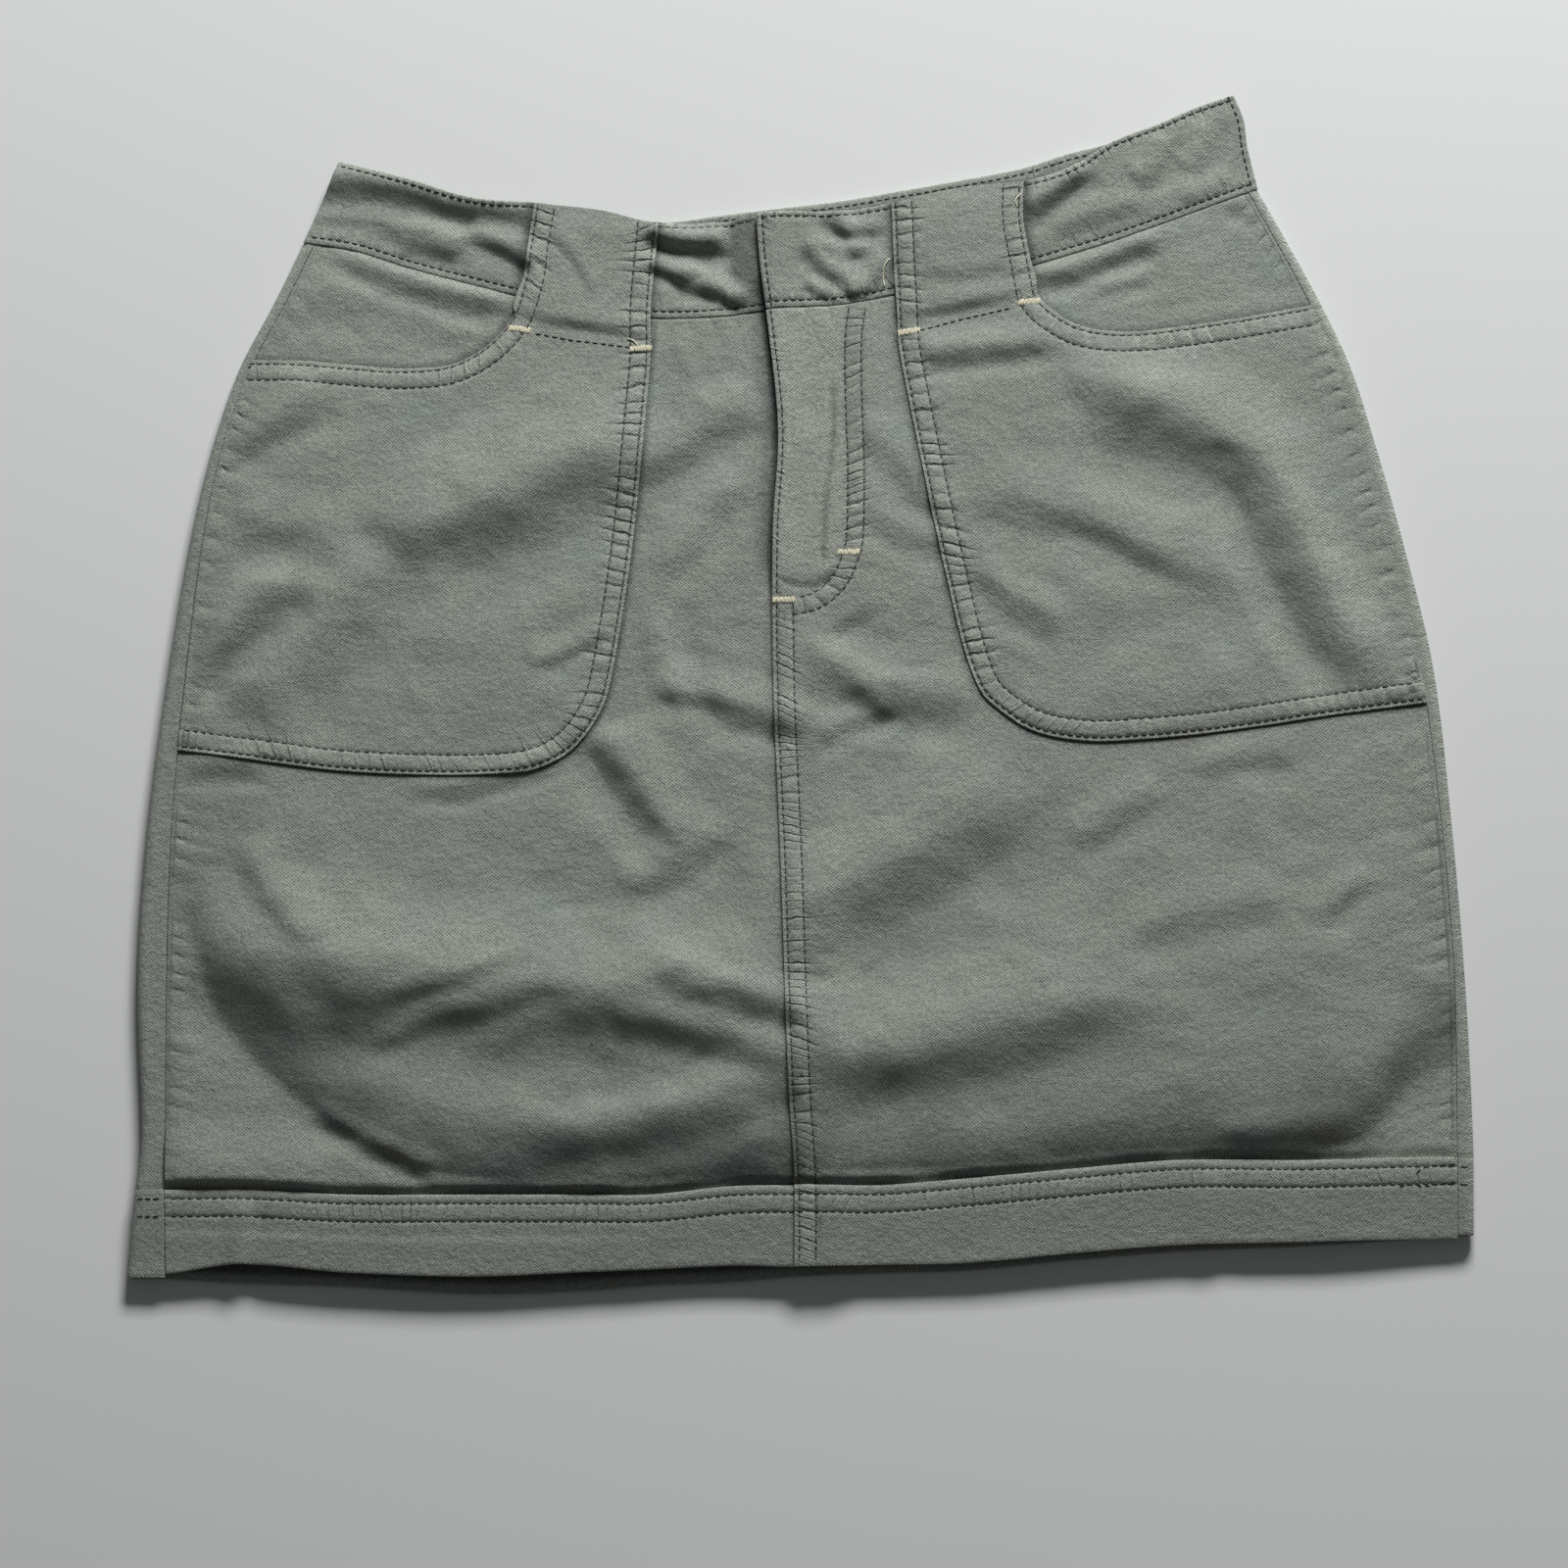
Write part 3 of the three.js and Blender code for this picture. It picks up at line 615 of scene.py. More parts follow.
class Relief:
    """Heights over a piece's smooth middle, and what its finish reads there: how rubbed and pale
    the cloth is, with a painted highlight on the fly; how dark, mostly painted shade and partly
    unfaded dye; where puckers fall along a seam and how strong they are; and the nearest row of
    stitching."""

    def __init__(self, x, y):
        self.x, self.y = x, y
        shape = np.shape(x)
        self.height, self.worn, self.deep = np.zeros((3, *shape))
        self.phase, self.pucker, self.sharp = np.zeros((3, *shape))
        self.row = np.full(shape, FAR_FROM_ROWS)

    def add(self, height, worn=0.0, deep=0.0):
        self.height = self.height + height
        self.worn = self.worn + worn
        self.deep = self.deep + deep

    def hollows(self, phase, depth, sharp):
        """Keeps the deepest of the puckers that meet at a place, and how sharp they are."""
        deeper = depth > self.pucker
        self.phase = np.where(deeper, phase, self.phase)
        self.sharp = np.where(deeper, sharp, self.sharp)
        self.pucker = np.maximum(depth, self.pucker)

    def crumple(self, seed, size, mask=1.0):
        height = crumple(self.x, self.y, seed) * mask
        # Crumple's crests are paler where rubbed, and its dents darker, partly painted shade.
        self.add(size * height, 0.12 * height, -0.1 * height)

    def fold_wear_and_shade(self, height):
        """Crests have rubbed paler; troughs are darker, partly unfaded and partly painted shade."""
        self.add(0, 0.05 * np.maximum(height, 0), 0.07 * np.maximum(-height, 0))

    def pressed(self, edge, drop=0.3, width=0.5):
        """A folded edge: pressed down, and paler along the fold where it has rubbed."""
        inside = edge.near(self.x, self.y)[1]
        self.add(-drop * (1 - ease(inside / 1.6)), 0.75 * bell(inside / width))

    def rows(self, edge, offsets, spacing, seed, swell=0.4, span=None, reach=1.0, sharp=0.8):
        """Rows of stitching: a groove under each, the cloth between two of them puffed up."""
        along, inside = edge.near(self.x, self.y)
        mask = 1.0
        if span:
            mask = ease((along - span[0]) / 3) * ease((span[1] - along) / 3)
        first, last = min(offsets), max(offsets)
        for offset in offsets:
            away = np.abs(inside - offset)
            self.row = np.minimum(self.row, away + FAR_FROM_ROWS * (1 - mask))
            self.add(-0.25 * bell(away / 0.9) * mask)
        lean = 0.2 + 0.4 * waves(along / 21, seed + 5)
        phase, strength = beat(along + lean * inside, spacing, seed)
        puckers = ripple(phase, strength)
        channel = 0.0
        if last > first:
            between = np.clip((inside - first) / (last - first), 0, 1)
            channel = np.sin(np.pi * between) ** 0.6 * mask
            self.add(channel * swell * (0.5 + puckers), 0.3 * channel * np.maximum(puckers, 0))
        past, short = np.maximum(inside - last, 0), np.maximum(first - inside, 0)
        drawn = reach * spacing * (0.2 + 0.75 * strength)
        tail = np.where(inside > last - 1.5, np.exp(-((past / drawn) ** 1.5)), 0) * mask
        before = np.where(inside < first + 1, np.exp(-short / 1.2), 0) * mask
        self.add(0.8 * swell * tail * ease(past / 1.5) * puckers, 0.12 * tail * puckers)
        self.hollows(phase, strength * np.maximum(channel, np.maximum(0.75 * tail, before)), sharp)

    def puckers(self, edge, spacing, seed, size, reach, slant=0.3, mask=1.0, sharp=0.0):
        """Puckers on either side of a seam."""
        along, inside = edge.near(self.x, self.y)
        fade = np.exp(-np.abs(inside) / reach) * mask
        phase, strength = beat(along + slant * inside, spacing, seed)
        wave = ripple(phase, strength)
        self.add(size * fade * wave, 0.14 * fade * wave)
        if sharp:
            self.hollows(phase, 1.1 * strength * fade * ease((fade - 0.15) / 0.45), sharp)

    def shade(self, edge, width=3.0, size=0.5):
        """Painted shade: darkens the colour in the angle beside an edge that lies on this piece,
        where the edge casts its shadow.
        """
        outside = -edge.near(self.x, self.y)[1]
        self.add(0, 0, size * bell(np.maximum(outside, 0) / width) * (outside > -2))


def crumple_scale():
    return bpy.context.scene.skort_cloth.crumple / 0.001


def left_front_free(x, y):
    """1 where the left front shows, and 0 under the pocket, the fly and the hem band."""
    beside = np.maximum(ease((x + 55 - 0.115 * (y - 139)) / 12), ease((-37 - y) / 12))
    uncovered = ease((centre_edge(y) - x - 1) / 9)
    mouth = ease((y - 129 - 0.18 * np.maximum(0, x + 150)) / 7) * ease((-112 - x) / 6)
    seams = ease((x - left_seam(y)) / 4) * ease((y - band_top(x)) / 5)
    return np.maximum(beside * uncovered, mouth) * seams


def right_front_free(x, y):
    below = ease((-25 + 0.13 * np.maximum(0, x - 118) - y) / 12)
    beside = np.maximum(ease((35 + 0.2 * (139 - y) - x) / 12), below)
    mouth = ease((y - 143 - 0.13 * np.maximum(0, x - 130)) / 7) * ease((x - 92) / 6)
    seams = ease((right_seam(y) - x) / 4) * ease((y - band_top(x)) / 5)
    return np.maximum(beside, mouth) * seams


def front_relief(x, y, free, side, side_seed, pocket_edge, pocket_mouth, seed):
    relief = Relief(x, y)
    relief.fold_wear_and_shade(fold_height(x, y))
    relief.crumple(seed, 1.4 * crumple_scale(), free)
    beside = ease(side.near(x, y)[1] / 1.5) * free
    relief.puckers(side, 7.5, side_seed, 0.65, 6.5, 0.35, beside, 0.95)
    relief.puckers(HEM_TOP, 7.5, 23, 0.3, 7, 0.5, free)
    relief.puckers(pocket_edge, 10, 27, 0.3, 6, 0.3, free)
    relief.puckers(WAIST, 9, 29, 0.35, 7, 0.3, free)
    # Painted shadows: beside the pocket's edges and mouth, along the top of the hem band, and in a
    # band above the foot of the front's swell.
    relief.shade(pocket_edge, 1.5, 1.25)
    relief.shade(pocket_mouth, 2.0, 0.8)
    hem_shadow = (0.75 + 0.3 * waves(x / 14, 35)) * mix(0.25, 1, ease((218 - x) / 26))
    relief.shade(HEM_TOP, 2.4, hem_shadow)
    above_foot = y - swell_foot(x)
    along_foot = ease((x + 235) / 50) * (1 + 0.35 * ease((x + 140) / 40))
    along_foot *= 1 - 0.6 * ease((x + 20) / 40) * ease((200 - x) / 30)
    shadow = 0.6 * bell((above_foot - 9) / 14) * along_foot
    relief.add(0, 0, shadow * ease((y - band_top(x) + 1) / 4))
    return relief


def front_left_relief(x, y):
    free = left_front_free(x, y)
    relief = front_relief(x, y, free, SIDE_LEFT, 21, LEFT_EDGE, LEFT_MOUTH, 11)
    relief.puckers(FLY, 8, 25, 0.4, 7, 0.3, free * ease((40 - y) / 20))
    # Painted shadow beside the fly's edge: a thin line all along, and a broader one above the fly's
    # foot where the edge stands up.
    relief.shade(FLY, 1.4, 0.7)
    relief.shade(FLY, 6, 0.9 * ease((y - 36) / 16))
    return relief


def front_right_relief(x, y):
    free = right_front_free(x, y) * ease((x - centre_edge(y) - 1) / 5)
    relief = front_relief(x, y, free, SIDE_RIGHT, 22, RIGHT_EDGE, RIGHT_MOUTH, 12)
    relief.pressed(FLY)
    centre = FLY.along[-1] - (186 - FLY_BOTTOM)
    relief.rows(FLY, CENTRE_ROWS, 3.5, 31, 0.42, (0, centre), 0.9)
    relief.rows(FLY, CENTRE_ROWS[:1], 6, 32, 0.2, (centre, FLY.along[-1] - 38), 0.3, 0.4)
    relief.rows(FLY_J, FLY_J_ROWS, 4.0, 33, 0.4, None, 0.6)
    from_curve = FLY_J.near(x, y)[1]
    on_fly = ease(FLY.near(x, y)[1] / 3) * ease((from_curve + 31) / 3) * ease(-from_curve / 3)
    # The fly's placket is painted paler: a painted highlight where it stands up towards the light.
    relief.add(0, 0.42 * on_fly * ease((y - 38) / 12))
    zip_ends = ease((y - 44) / 8) * ease((122 - y) / 10)
    foot_ends = ease((x + 9) / 3) * ease((14 - x) / 3)
    # The zip's and the fly foot's grooves are sunk, and painted darker as shade in them.
    for line, ends in ((ZIP, zip_ends), (FLY_FOOT, foot_ends)):
        groove = bell(line.near(x, y)[1] / 1.3) * ends
        relief.add(-0.9 * groove, 0, 0.4 * groove)
    return relief


def pocket_relief(edge, mouth, side, seed):
    def relief_at(x, y):
        relief = Relief(x, y)
        on_side = ease(side.near(x, y)[1] / 3)
        below_mouth = mouth.near(x, y)[1]
        inner = ease(edge.near(x, y)[1] / 6) * ease(below_mouth / 6)
        relief.fold_wear_and_shade(fold_height(x, y))
        relief.crumple(seed, 1.3 * crumple_scale(), inner * on_side)
        relief.pressed(edge)
        relief.pressed(mouth)
        upright = ease((y - edge.points[:, 1].min() - 10) / 26)
        on_tab = ease((y - waist_seam(x) + 16) / 10)
        relief.rows(edge, TWIN_ROWS, 5.4, seed + 1, 0.4, None, 0.8, 0.15 + 0.75 * upright)
        relief.rows(mouth, TWIN_ROWS, 6.5, seed + 2, 0.3, None, 0.4, 0.2 + 0.4 * on_tab)
        side_shows = on_side * ease((below_mouth - 8) / 4)
        relief.puckers(side, 8.5, seed + 3, 0.6, 6, 0.2, side_shows, 0.9)
        return relief
    return relief_at


def waistband_relief(seed, pocket_edge, pocket_mouth, end=None):
    def relief_at(x, y):
        relief = Relief(x, y)
        in_band = ease((waist_top(x) - y) / 6) * ease((y - waist_seam(x)) / 5)
        relief.crumple(seed, 0.45 * crumple_scale(), in_band)
        # The band is painted a little darker all over, its fold troughs darker still as painted
        # shade, and its crests a little paler.
        hollow = -folded(BAND_FOLDS, x, y)
        relief.add(0, 0.08 * np.maximum(-hollow, 0), 0.07 + 0.22 * np.maximum(hollow, 0))
        relief.pressed(WAIST, 0.35)
        relief.pressed(WAIST_TOP, 0.3)
        relief.rows(WAIST, (3,), 7.5, 61, 0.5, None, 0.8, 0.2)
        relief.rows(WAIST_TOP, (1.9,), 3.6, 62, 0.3, None, 0.7, 0.8)
        # Painted shadows beside the pocket tabs' edges, and on the left band beside the fly.
        relief.shade(pocket_edge, 2.0, 1.0)
        relief.shade(pocket_mouth, 3.0, 1.0)
        if end:
            relief.pressed(end, 0.35)
            relief.rows(end, (2.2,), 7, seed + 3, 0.3, None, 0.4, 0.5)
        else:
            relief.shade(FLY, 7, 1.0)
        return relief
    return relief_at


def back_band_relief(x, y):
    relief = Relief(x, y)
    relief.crumple(67, 0.4 * crumple_scale())
    relief.pressed(BACK_TOP, 0.3)
    relief.rows(BACK_TOP, (2.4,), 4.2, 68, 0.4, None, 0.8, 0.6)
    # Painted shadow on the inside band, darkest where the front waistband's top edge lies over it.
    relief.add(0, 0, 0.8 * ease((waist_top(x) + 3 - y) / 3))
    return relief


def hem_relief(x, y):
    relief = Relief(x, y)
    relief.crumple(71, 0.35 * crumple_scale())
    relief.pressed(HEM_TOP, 0.35)
    relief.pressed(FRONT_HEM, 0.3, 1.2)
    relief.rows(HEM_TOP, HEM_ROWS, 4.2, 72, 0.26, None, 0.9, 0.3)
    inside = HEM_TOP.near(x, y)[1]
    relief.add(0.5 * ease((inside - 15.5) / 2.5) * ease((-40 - x) / 60))
    return relief


def hem_right_relief(x, y):
    relief = hem_relief(x, y)
    relief.pressed(FLY, 0.35)
    relief.rows(FLY, CENTRE_ROWS, 3.5, 31, 0.3, None, 0.3, 0.5)
    return relief


# Middle surfaces

FRONT_WALL = 0.9
POCKET_WALL = 0.9
HEM_WALL = 1.5
BAND_WALL = 1.7
HEM_PUFF = 2.4
HEM_DROOP = 2.2
FLY_DIP, BAND_DIP, FLY_RISE = 1.0, 0.8, 1.2


def puffed(x, y):
    """The fronts stand a little proud of the hem band, and roll down to its seam."""
    above = y - band_top(x)
    size = HEM_PUFF * (1 + 0.4 * waves(x / 16, 36)) * mix(0.15, 1, ease((226 - x) / 34))
    return size * ease(above / 4) * (1 - ease((above - 8) / 24))


def front_middle(x, y):
    return laid(x, y) + FRONT_WALL / 2 + 0.1 + puffed(x, y)


def fly_stand(x, y):
    """The fly's edge stands up, and the cloth beside it dips."""
    return ease((y - 20) / 36) * (1 - ease(np.abs(x - centre_edge(y) - 2) / 13))


def hem_middle(x, y):
    droop = HEM_DROOP * ease((band_top(x) - y) / 34)
    return laid(x, y) + FRONT_WALL + 0.25 + HEM_WALL / 2 - droop


def waistband_middle(x, y):
    """The band lies flat, and its lower edge meets the front that is sewn to it."""
    flat = waistband_under(x, y) + BAND_WALL / 2 + 0.3
    on_front = form_under(x, y) + 0.65
    return mix(on_front, flat, ease((y - waist_seam(x)) / 13)) + folded(BAND_FOLDS, x, y)


def waistband_right_middle(x, y):
    past = x - centre_edge(y) - WAISTBAND_UNDERLAP - 2
    rise = mix(overlap_rise(x, y), BAND_WALL + 0.2, ease((y - waist_seam(x)) / 10))
    return waistband_middle(x, y) + rise * (1 - ease(past / 20)) + FLY_RISE * fly_stand(x, y)


def pocket_middle(low, high, below):
    """A pocket on its front, whose tab climbs over the waistband as a belt tunnel."""
    def middle(x, y):
        on_panel = laid(x, y) + FRONT_WALL + 0.3 + POCKET_WALL / 2
        across = np.clip((x - low(y)) / (high(y) - low(y)), 0, 1)
        bow = TUNNEL_BOW * np.sin(np.pi * across) * ease((waist_top(x) + 2 - y) / 12)
        on_band = waistband_middle(x, y) + (BAND_WALL + POCKET_WALL) / 2 + 0.4 + bow
        return mix(on_panel, on_band, ease((y - waist_seam(x) + below) / 5.5))
    return middle


class Piece:
    """A piece of cloth on the front: the middle of its wall, its relief and its thickness."""

    def __init__(self, thickness, middle, relief):
        self.thickness, self.middle, self.relief = thickness, middle, relief

    def height(self, x, y):
        return self.middle(x, y) + self.relief(x, y).height

    def top(self, x, y):
        return self.height(x, y) + self.thickness / 2


FRONT_LEFT = Piece(
    FRONT_WALL, lambda x, y: front_middle(x, y) - FLY_DIP * fly_stand(x, y), front_left_relief
)
FRONT_RIGHT = Piece(
    FRONT_WALL, lambda x, y: front_middle(x, y) + overlap_rise(x, y) + FLY_RISE * fly_stand(x, y),
    front_right_relief,
)
LEFT_POCKET = Piece(
    POCKET_WALL, pocket_middle(tab_left_outer, tab_left_inner, 9.5),
    pocket_relief(LEFT_EDGE, LEFT_MOUTH, SIDE_LEFT, 41),
)
RIGHT_POCKET = Piece(
    POCKET_WALL, pocket_middle(tab_right_inner, tab_right_outer, 12.5),
    pocket_relief(RIGHT_EDGE, RIGHT_MOUTH, SIDE_RIGHT, 51),
)
WAISTBAND_LEFT = Piece(
    BAND_WALL, lambda x, y: waistband_middle(x, y) - BAND_DIP * fly_stand(x, y),
    waistband_relief(63, LEFT_EDGE, LEFT_MOUTH),
)
WAISTBAND_RIGHT = Piece(
    BAND_WALL, waistband_right_middle, waistband_relief(66, RIGHT_EDGE, RIGHT_MOUTH, FLY)
)
BACK_BAND = Piece(WAISTBAND - 0.3, lambda x, y: WAISTBAND / 2 - 0.1 + 0 * x, back_band_relief)
HEM_LEFT = Piece(HEM_WALL, hem_middle, hem_relief)
HEM_RIGHT = Piece(HEM_WALL, lambda x, y: hem_middle(x, y) + overlap_rise(x, y), hem_right_relief)


# Plans: a share across and a share up give a place

def corner(x_line, y_line):
    y = y_line(x_line(0.0))
    for _ in range(20):
        y = y_line(x_line(y))
    return float(x_line(y)), float(y)


def blend(left, right, bottom, top):
    """Fills four edges that meet at their corners."""
    def place(u, v):
        flat = []
        for k, (west, east, low, high) in enumerate(zip(left(v), right(v), bottom(u), top(u))):
            base = mix(bottom(0.0)[k], bottom(1.0)[k], u)
            roof = mix(top(0.0)[k], top(1.0)[k], u)
            flat.append(mix(west, east, u) + mix(low, high, v) - mix(base, roof, v))
        return flat
    return place


def patch(left, right, bottom, top):
    """The plan between two lines that give x by y and two that give y by x."""
    def sideways(line):
        low, high = corner(line, bottom)[1], corner(line, top)[1]
        return lambda v: (line(mix(low, high, v)), mix(low, high, v))

    def upright(line):
        low, high = corner(left, line)[0], corner(right, line)[0]
        return lambda u: (mix(low, high, u), line(mix(low, high, u)))

    return blend(sideways(left), sideways(right), upright(bottom), upright(top))


def stops(*stretches):
    """Shares from 0 to 1: each stretch ends at a share and has a number of steps."""
    shares, start = [], 0.0
    for end, count in stretches:
        shares.extend(np.linspace(start, end, count, endpoint=False))
        start = end
    return np.array(shares + [1.0])


def pocket_plan(outline, seam_x, tab_inner, tab_outer, split):
    """A pocket's plan: the body up to its mouth and the tab's root, and the tab above that."""
    inner, bottom, mouth = (spline(outline[name], 1.0) for name in ("inner", "bottom", "mouth"))
    root_outer, root_inner = outline["mouth"][0], outline["inner"][0]
    seam_low, seam_high = outline["bottom"][-1][1], outline["mouth"][-1][1]

    def root(u):
        share = np.clip((u - split) / (1 - split), 0, 1)
        return share, *(mix(outer, inner, share) for outer, inner in zip(root_outer, root_inner))

    def top(u):
        u = np.asarray(u, float)
        mouth_x, mouth_y = part_way(mouth, 1 - np.clip(u / split, 0, 1))
        share, root_x, root_y = root(u)
        return np.where(u >= split, root_x, mouth_x), np.where(u >= split, root_y, mouth_y)

    def side(v):
        y = mix(seam_low, seam_high, np.asarray(v, float))
        return seam_x(y), y

    def backwards(run):
        return lambda share: part_way(run, 1 - np.asarray(share, float))

    def tab(u, v):
        share, base_x, base_y = root(u)
        edge_top = waist_top(mix(tab_outer(base_y), tab_inner(base_y), share)) - 0.4
        for _ in range(3):
            y = mix(base_y, edge_top, v)
            x = mix(tab_outer(y), tab_inner(y), share)
            edge_top = waist_top(x) - 0.4
        return mix(base_x, x, ease(3 * v)), mix(base_y, edge_top, v)

    return blend(side, backwards(inner), backwards(bottom), top), tab


# What a user would change

def colour_setting(name, description, default):
    return bpy.props.FloatVectorProperty(
        name=name, description=description, default=default, subtype="COLOR", size=3
    )


def length_setting(name, description, default, least=0.0):
    return bpy.props.FloatProperty(
        name=name, description=description, default=default, min=least, unit="LENGTH"
    )


class SkortCloth(bpy.types.PropertyGroup):
    cloth: colour_setting(
        "Cloth", "Colour of the washed twill",
        [gain * part for gain, part in zip((1.09, 1.1, 1.145), COLOURS["twill"])],
    )
    # This pale colour is also the colour of the painted highlight on the fly.
    worn: colour_setting("Worn", "Colour where folds and puckers have rubbed", (0.42, 0.44, 0.38))
    # This dark colour is what painted shade darkens towards, and the unfaded dye in troughs.
    deep: colour_setting("Unfaded", "Colour kept in grooves and under edges", (0.06, 0.068, 0.062))
    lining: colour_setting("Shorts", "Colour of the inner shorts", COLOURS["shorts"])
    twill_pitch: length_setting(
        "Twill pitch", "Distance between the twill's diagonal lines", 0.00085, 0.0003
    )
    crumple: length_setting("Crumple", "Height of the soft dents of handled cloth", 0.001)


class SkortSewing(bpy.types.PropertyGroup):
    thread: colour_setting("Thread", "Colour of the stitching", (0.022, 0.027, 0.024))
    tack: colour_setting("Bar tacks", "Colour of the bar tacks", (0.8, 0.72, 0.53))
    stitch: length_setting("Stitch", "Length from one stitch to the next", 0.0031, 0.001)
    thickness: length_setting("Thread thickness", "Thickness of the sewing thread", 0.00058, 0.0002)


class SkortStage(bpy.types.PropertyGroup):
    floor: colour_setting("Floor", "Colour of the plain floor", (0.74, 0.75, 0.745))
    width: length_setting("View width", "Width of what the camera sees at the skort", 0.5926, 0.1)
    elevation: bpy.props.FloatProperty(
        name="Elevation", description="How high the camera looks from", subtype="ANGLE",
        default=math.radians(80), min=0.0,
    )


# Shading, written as sums on the sockets of one material

class Value:
    """A value in a material. Sums on values add Math nodes."""

    def __init__(self, finish, socket):
        self.finish, self.socket = finish, socket

    def __add__(self, other):
        return self.finish.maths("ADD", self, other)

    def __sub__(self, other):
        return self.finish.maths("SUBTRACT", self, other)

    def __rsub__(self, other):
        return self.finish.maths("SUBTRACT", other, self)

    def __mul__(self, other):
        return self.finish.maths("MULTIPLY", self, other)

    __radd__ = __add__
    __rmul__ = __mul__


def solid(value):
    """A colour as its socket takes it. Values pass through."""
    return (*value, 1) if isinstance(value, tuple) else value


class Finish:
    """One material and the nodes in it."""

    def __init__(self, name):
        self.material = bpy.data.materials.new(name)
        self.material.use_nodes = True
        self.tree = self.material.node_tree
        self.tree.nodes.clear()

    def node(self, kind, settings=None, sockets=None):
        """Adds a node: its settings first, then the values or links of its sockets. Gives its
        outputs."""
        made = self.tree.nodes.new(kind)
        for name, value in (settings or {}).items():
            setattr(made, name, value)
        for key, value in (sockets or {}).items():
            if isinstance(value, Value):
                self.tree.links.new(value.socket, made.inputs[key])
            else:
                made.inputs[key].default_value = value
        return [Value(self, socket) for socket in made.outputs]

    def maths(self, operation, first, second=0.0):
        return self.node("ShaderNodeMath", {"operation": operation}, {0: first, 1: second})[0]

    def sine(self, value):
        return self.maths("SINE", value)

    def limited(self, value):
        return self.node("ShaderNodeClamp", None, {"Value": value})[0]

    def blend(self, share, first, second, how="MIX"):
        sockets = {0: share, 6: solid(first), 7: solid(second)}
        return self.node("ShaderNodeMix", {"data_type": "RGBA", "blend_type": how}, sockets)[2]

    def noise(self, place, scale, detail=2.0, roughness=0.5):
        """Noise round 0, about -0.5 to 0.5."""
        sockets = {"Vector": place, "Scale": scale, "Detail": detail, "Roughness": roughness}
        return self.node("ShaderNodeTexNoise", None, sockets)[0] - 0.5

    def weave(self):
        return self.node("ShaderNodeUVMap", {"uv_map": "weave"})[0]

    def attribute(self, name):
        return self.node("ShaderNodeAttribute", {"attribute_name": name})[2]

    def ridges(self, phase, narrow):
        """Ridges along the lines where a phase is whole."""
        return self.limited(1 - self.maths("ABSOLUTE", self.sine(phase * math.pi)) * narrow)

    def surface(self, colour, roughness, height=None, **shine):
        """The material: height is in millimetres, and shine names sockets with _ for spaces."""
        sockets = {"Base Color": solid(colour), "Roughness": roughness}
        sockets.update({name.replace("_", " "): value for name, value in shine.items()})
        if height:
            bump = {"Strength": 1.0, "Distance": MM, "Height": height}
            sockets["Normal"] = self.node("ShaderNodeBump", None, bump)[0]
        shader = self.node("ShaderNodeBsdfPrincipled", None, sockets)[0]
        self.node("ShaderNodeOutputMaterial", None, {"Surface": shader})
        return self.material


def twill_finish(name):
    """Washed twill: diagonal lines, fine crumple, fading where it has rubbed, seam puckers, and
    painted shade and highlights.
    """
    look = bpy.context.scene.skort_cloth
    finish = Finish(name)
    weave = finish.weave()
    across, up, _ = finish.node("ShaderNodeSeparateXYZ", None, {0: weave})
    turns = 2 * math.pi / (look.twill_pitch / 0.1)
    yarn = finish.noise(weave, 420.0, 1.0)
    grain = finish.noise(weave, 175.0, 2.0, 0.7)
    diagonals = finish.sine((across * 0.62 + up * 0.78) * turns + yarn * 3.0)
    floats = finish.sine((across * 0.78 - up * 0.62) * (0.8 * turns) + yarn * 4.0)
    fine = finish.noise(weave, 62.0, 3.0, 0.6)
    soft = finish.noise(weave, 22.0, 3.0, 0.55)
    patches = finish.noise(weave, 5.0, 3.0, 0.6)
    tint = finish.noise(weave, 3.1, 2.0)

    worn, deep, row = (finish.attribute(name) for name in ("worn", "deep", "row"))
    phase = finish.attribute("phase") + finish.noise(weave, 26.0, 2.0) * 0.42
    pucker, sharp = finish.attribute("pucker"), finish.attribute("sharp")
    # Painted light on the puckers: each hollow (tick) darker, partly painted shade; a pale line
    # (streak) beside it, partly a painted highlight on the side facing the light; and a darker line
    # (groove) under each row of stitching, painted shade.
    hollow = finish.ridges(phase, 1.3)
    tick = finish.limited(hollow * hollow * pucker * sharp * (0.85 + soft * 2.6))
    crest = finish.ridges(phase - 0.19, 1.5 + sharp * 1.2)
    streak = finish.limited(crest * crest * pucker * (1.5 - sharp))
    groove = finish.maths("EXPONENT", row * row * -5.0)

    # rubbed blends towards the pale colour: wear, and the painted highlights. kept blends towards
    # the dark colour: painted shade and unfaded dye, with random tone.
    rubbed = worn * 0.8 + streak * 0.7 + fine * (worn * 0.9 + 0.5) + patches * 0.4 + soft * 0.3
    kept = deep * 0.8 - fine * 0.25 - soft * 0.22 - patches * 0.2 + tick * 0.36 + groove * 0.3
    colour = tuple(look.cloth)
    for share, tone in (
        (rubbed, tuple(look.worn)),
        (kept, tuple(look.deep)),
        (tint * 0.5, (0.2, 0.27, 0.29)),
        (tint * -0.45, (0.3, 0.26, 0.2)),
    ):
        colour = finish.blend(finish.limited(share), colour, tone)
    speck = 0.5 + diagonals * 0.12 + floats * 0.08 + yarn * 0.9 + grain * 1.3 + fine * 0.35
    colour = finish.blend(0.75, colour, finish.limited(speck), "OVERLAY")
    height = diagonals * 0.04 + floats * 0.02 + grain * 0.3 + fine * 0.4 + soft * 0.65
    return finish.surface(
        colour, 0.93, height - tick * 0.85 + streak * 0.28 - groove * 0.15,
        Specular_IOR_Level=0.25, Sheen_Weight=0.12, Sheen_Roughness=0.45,
    )


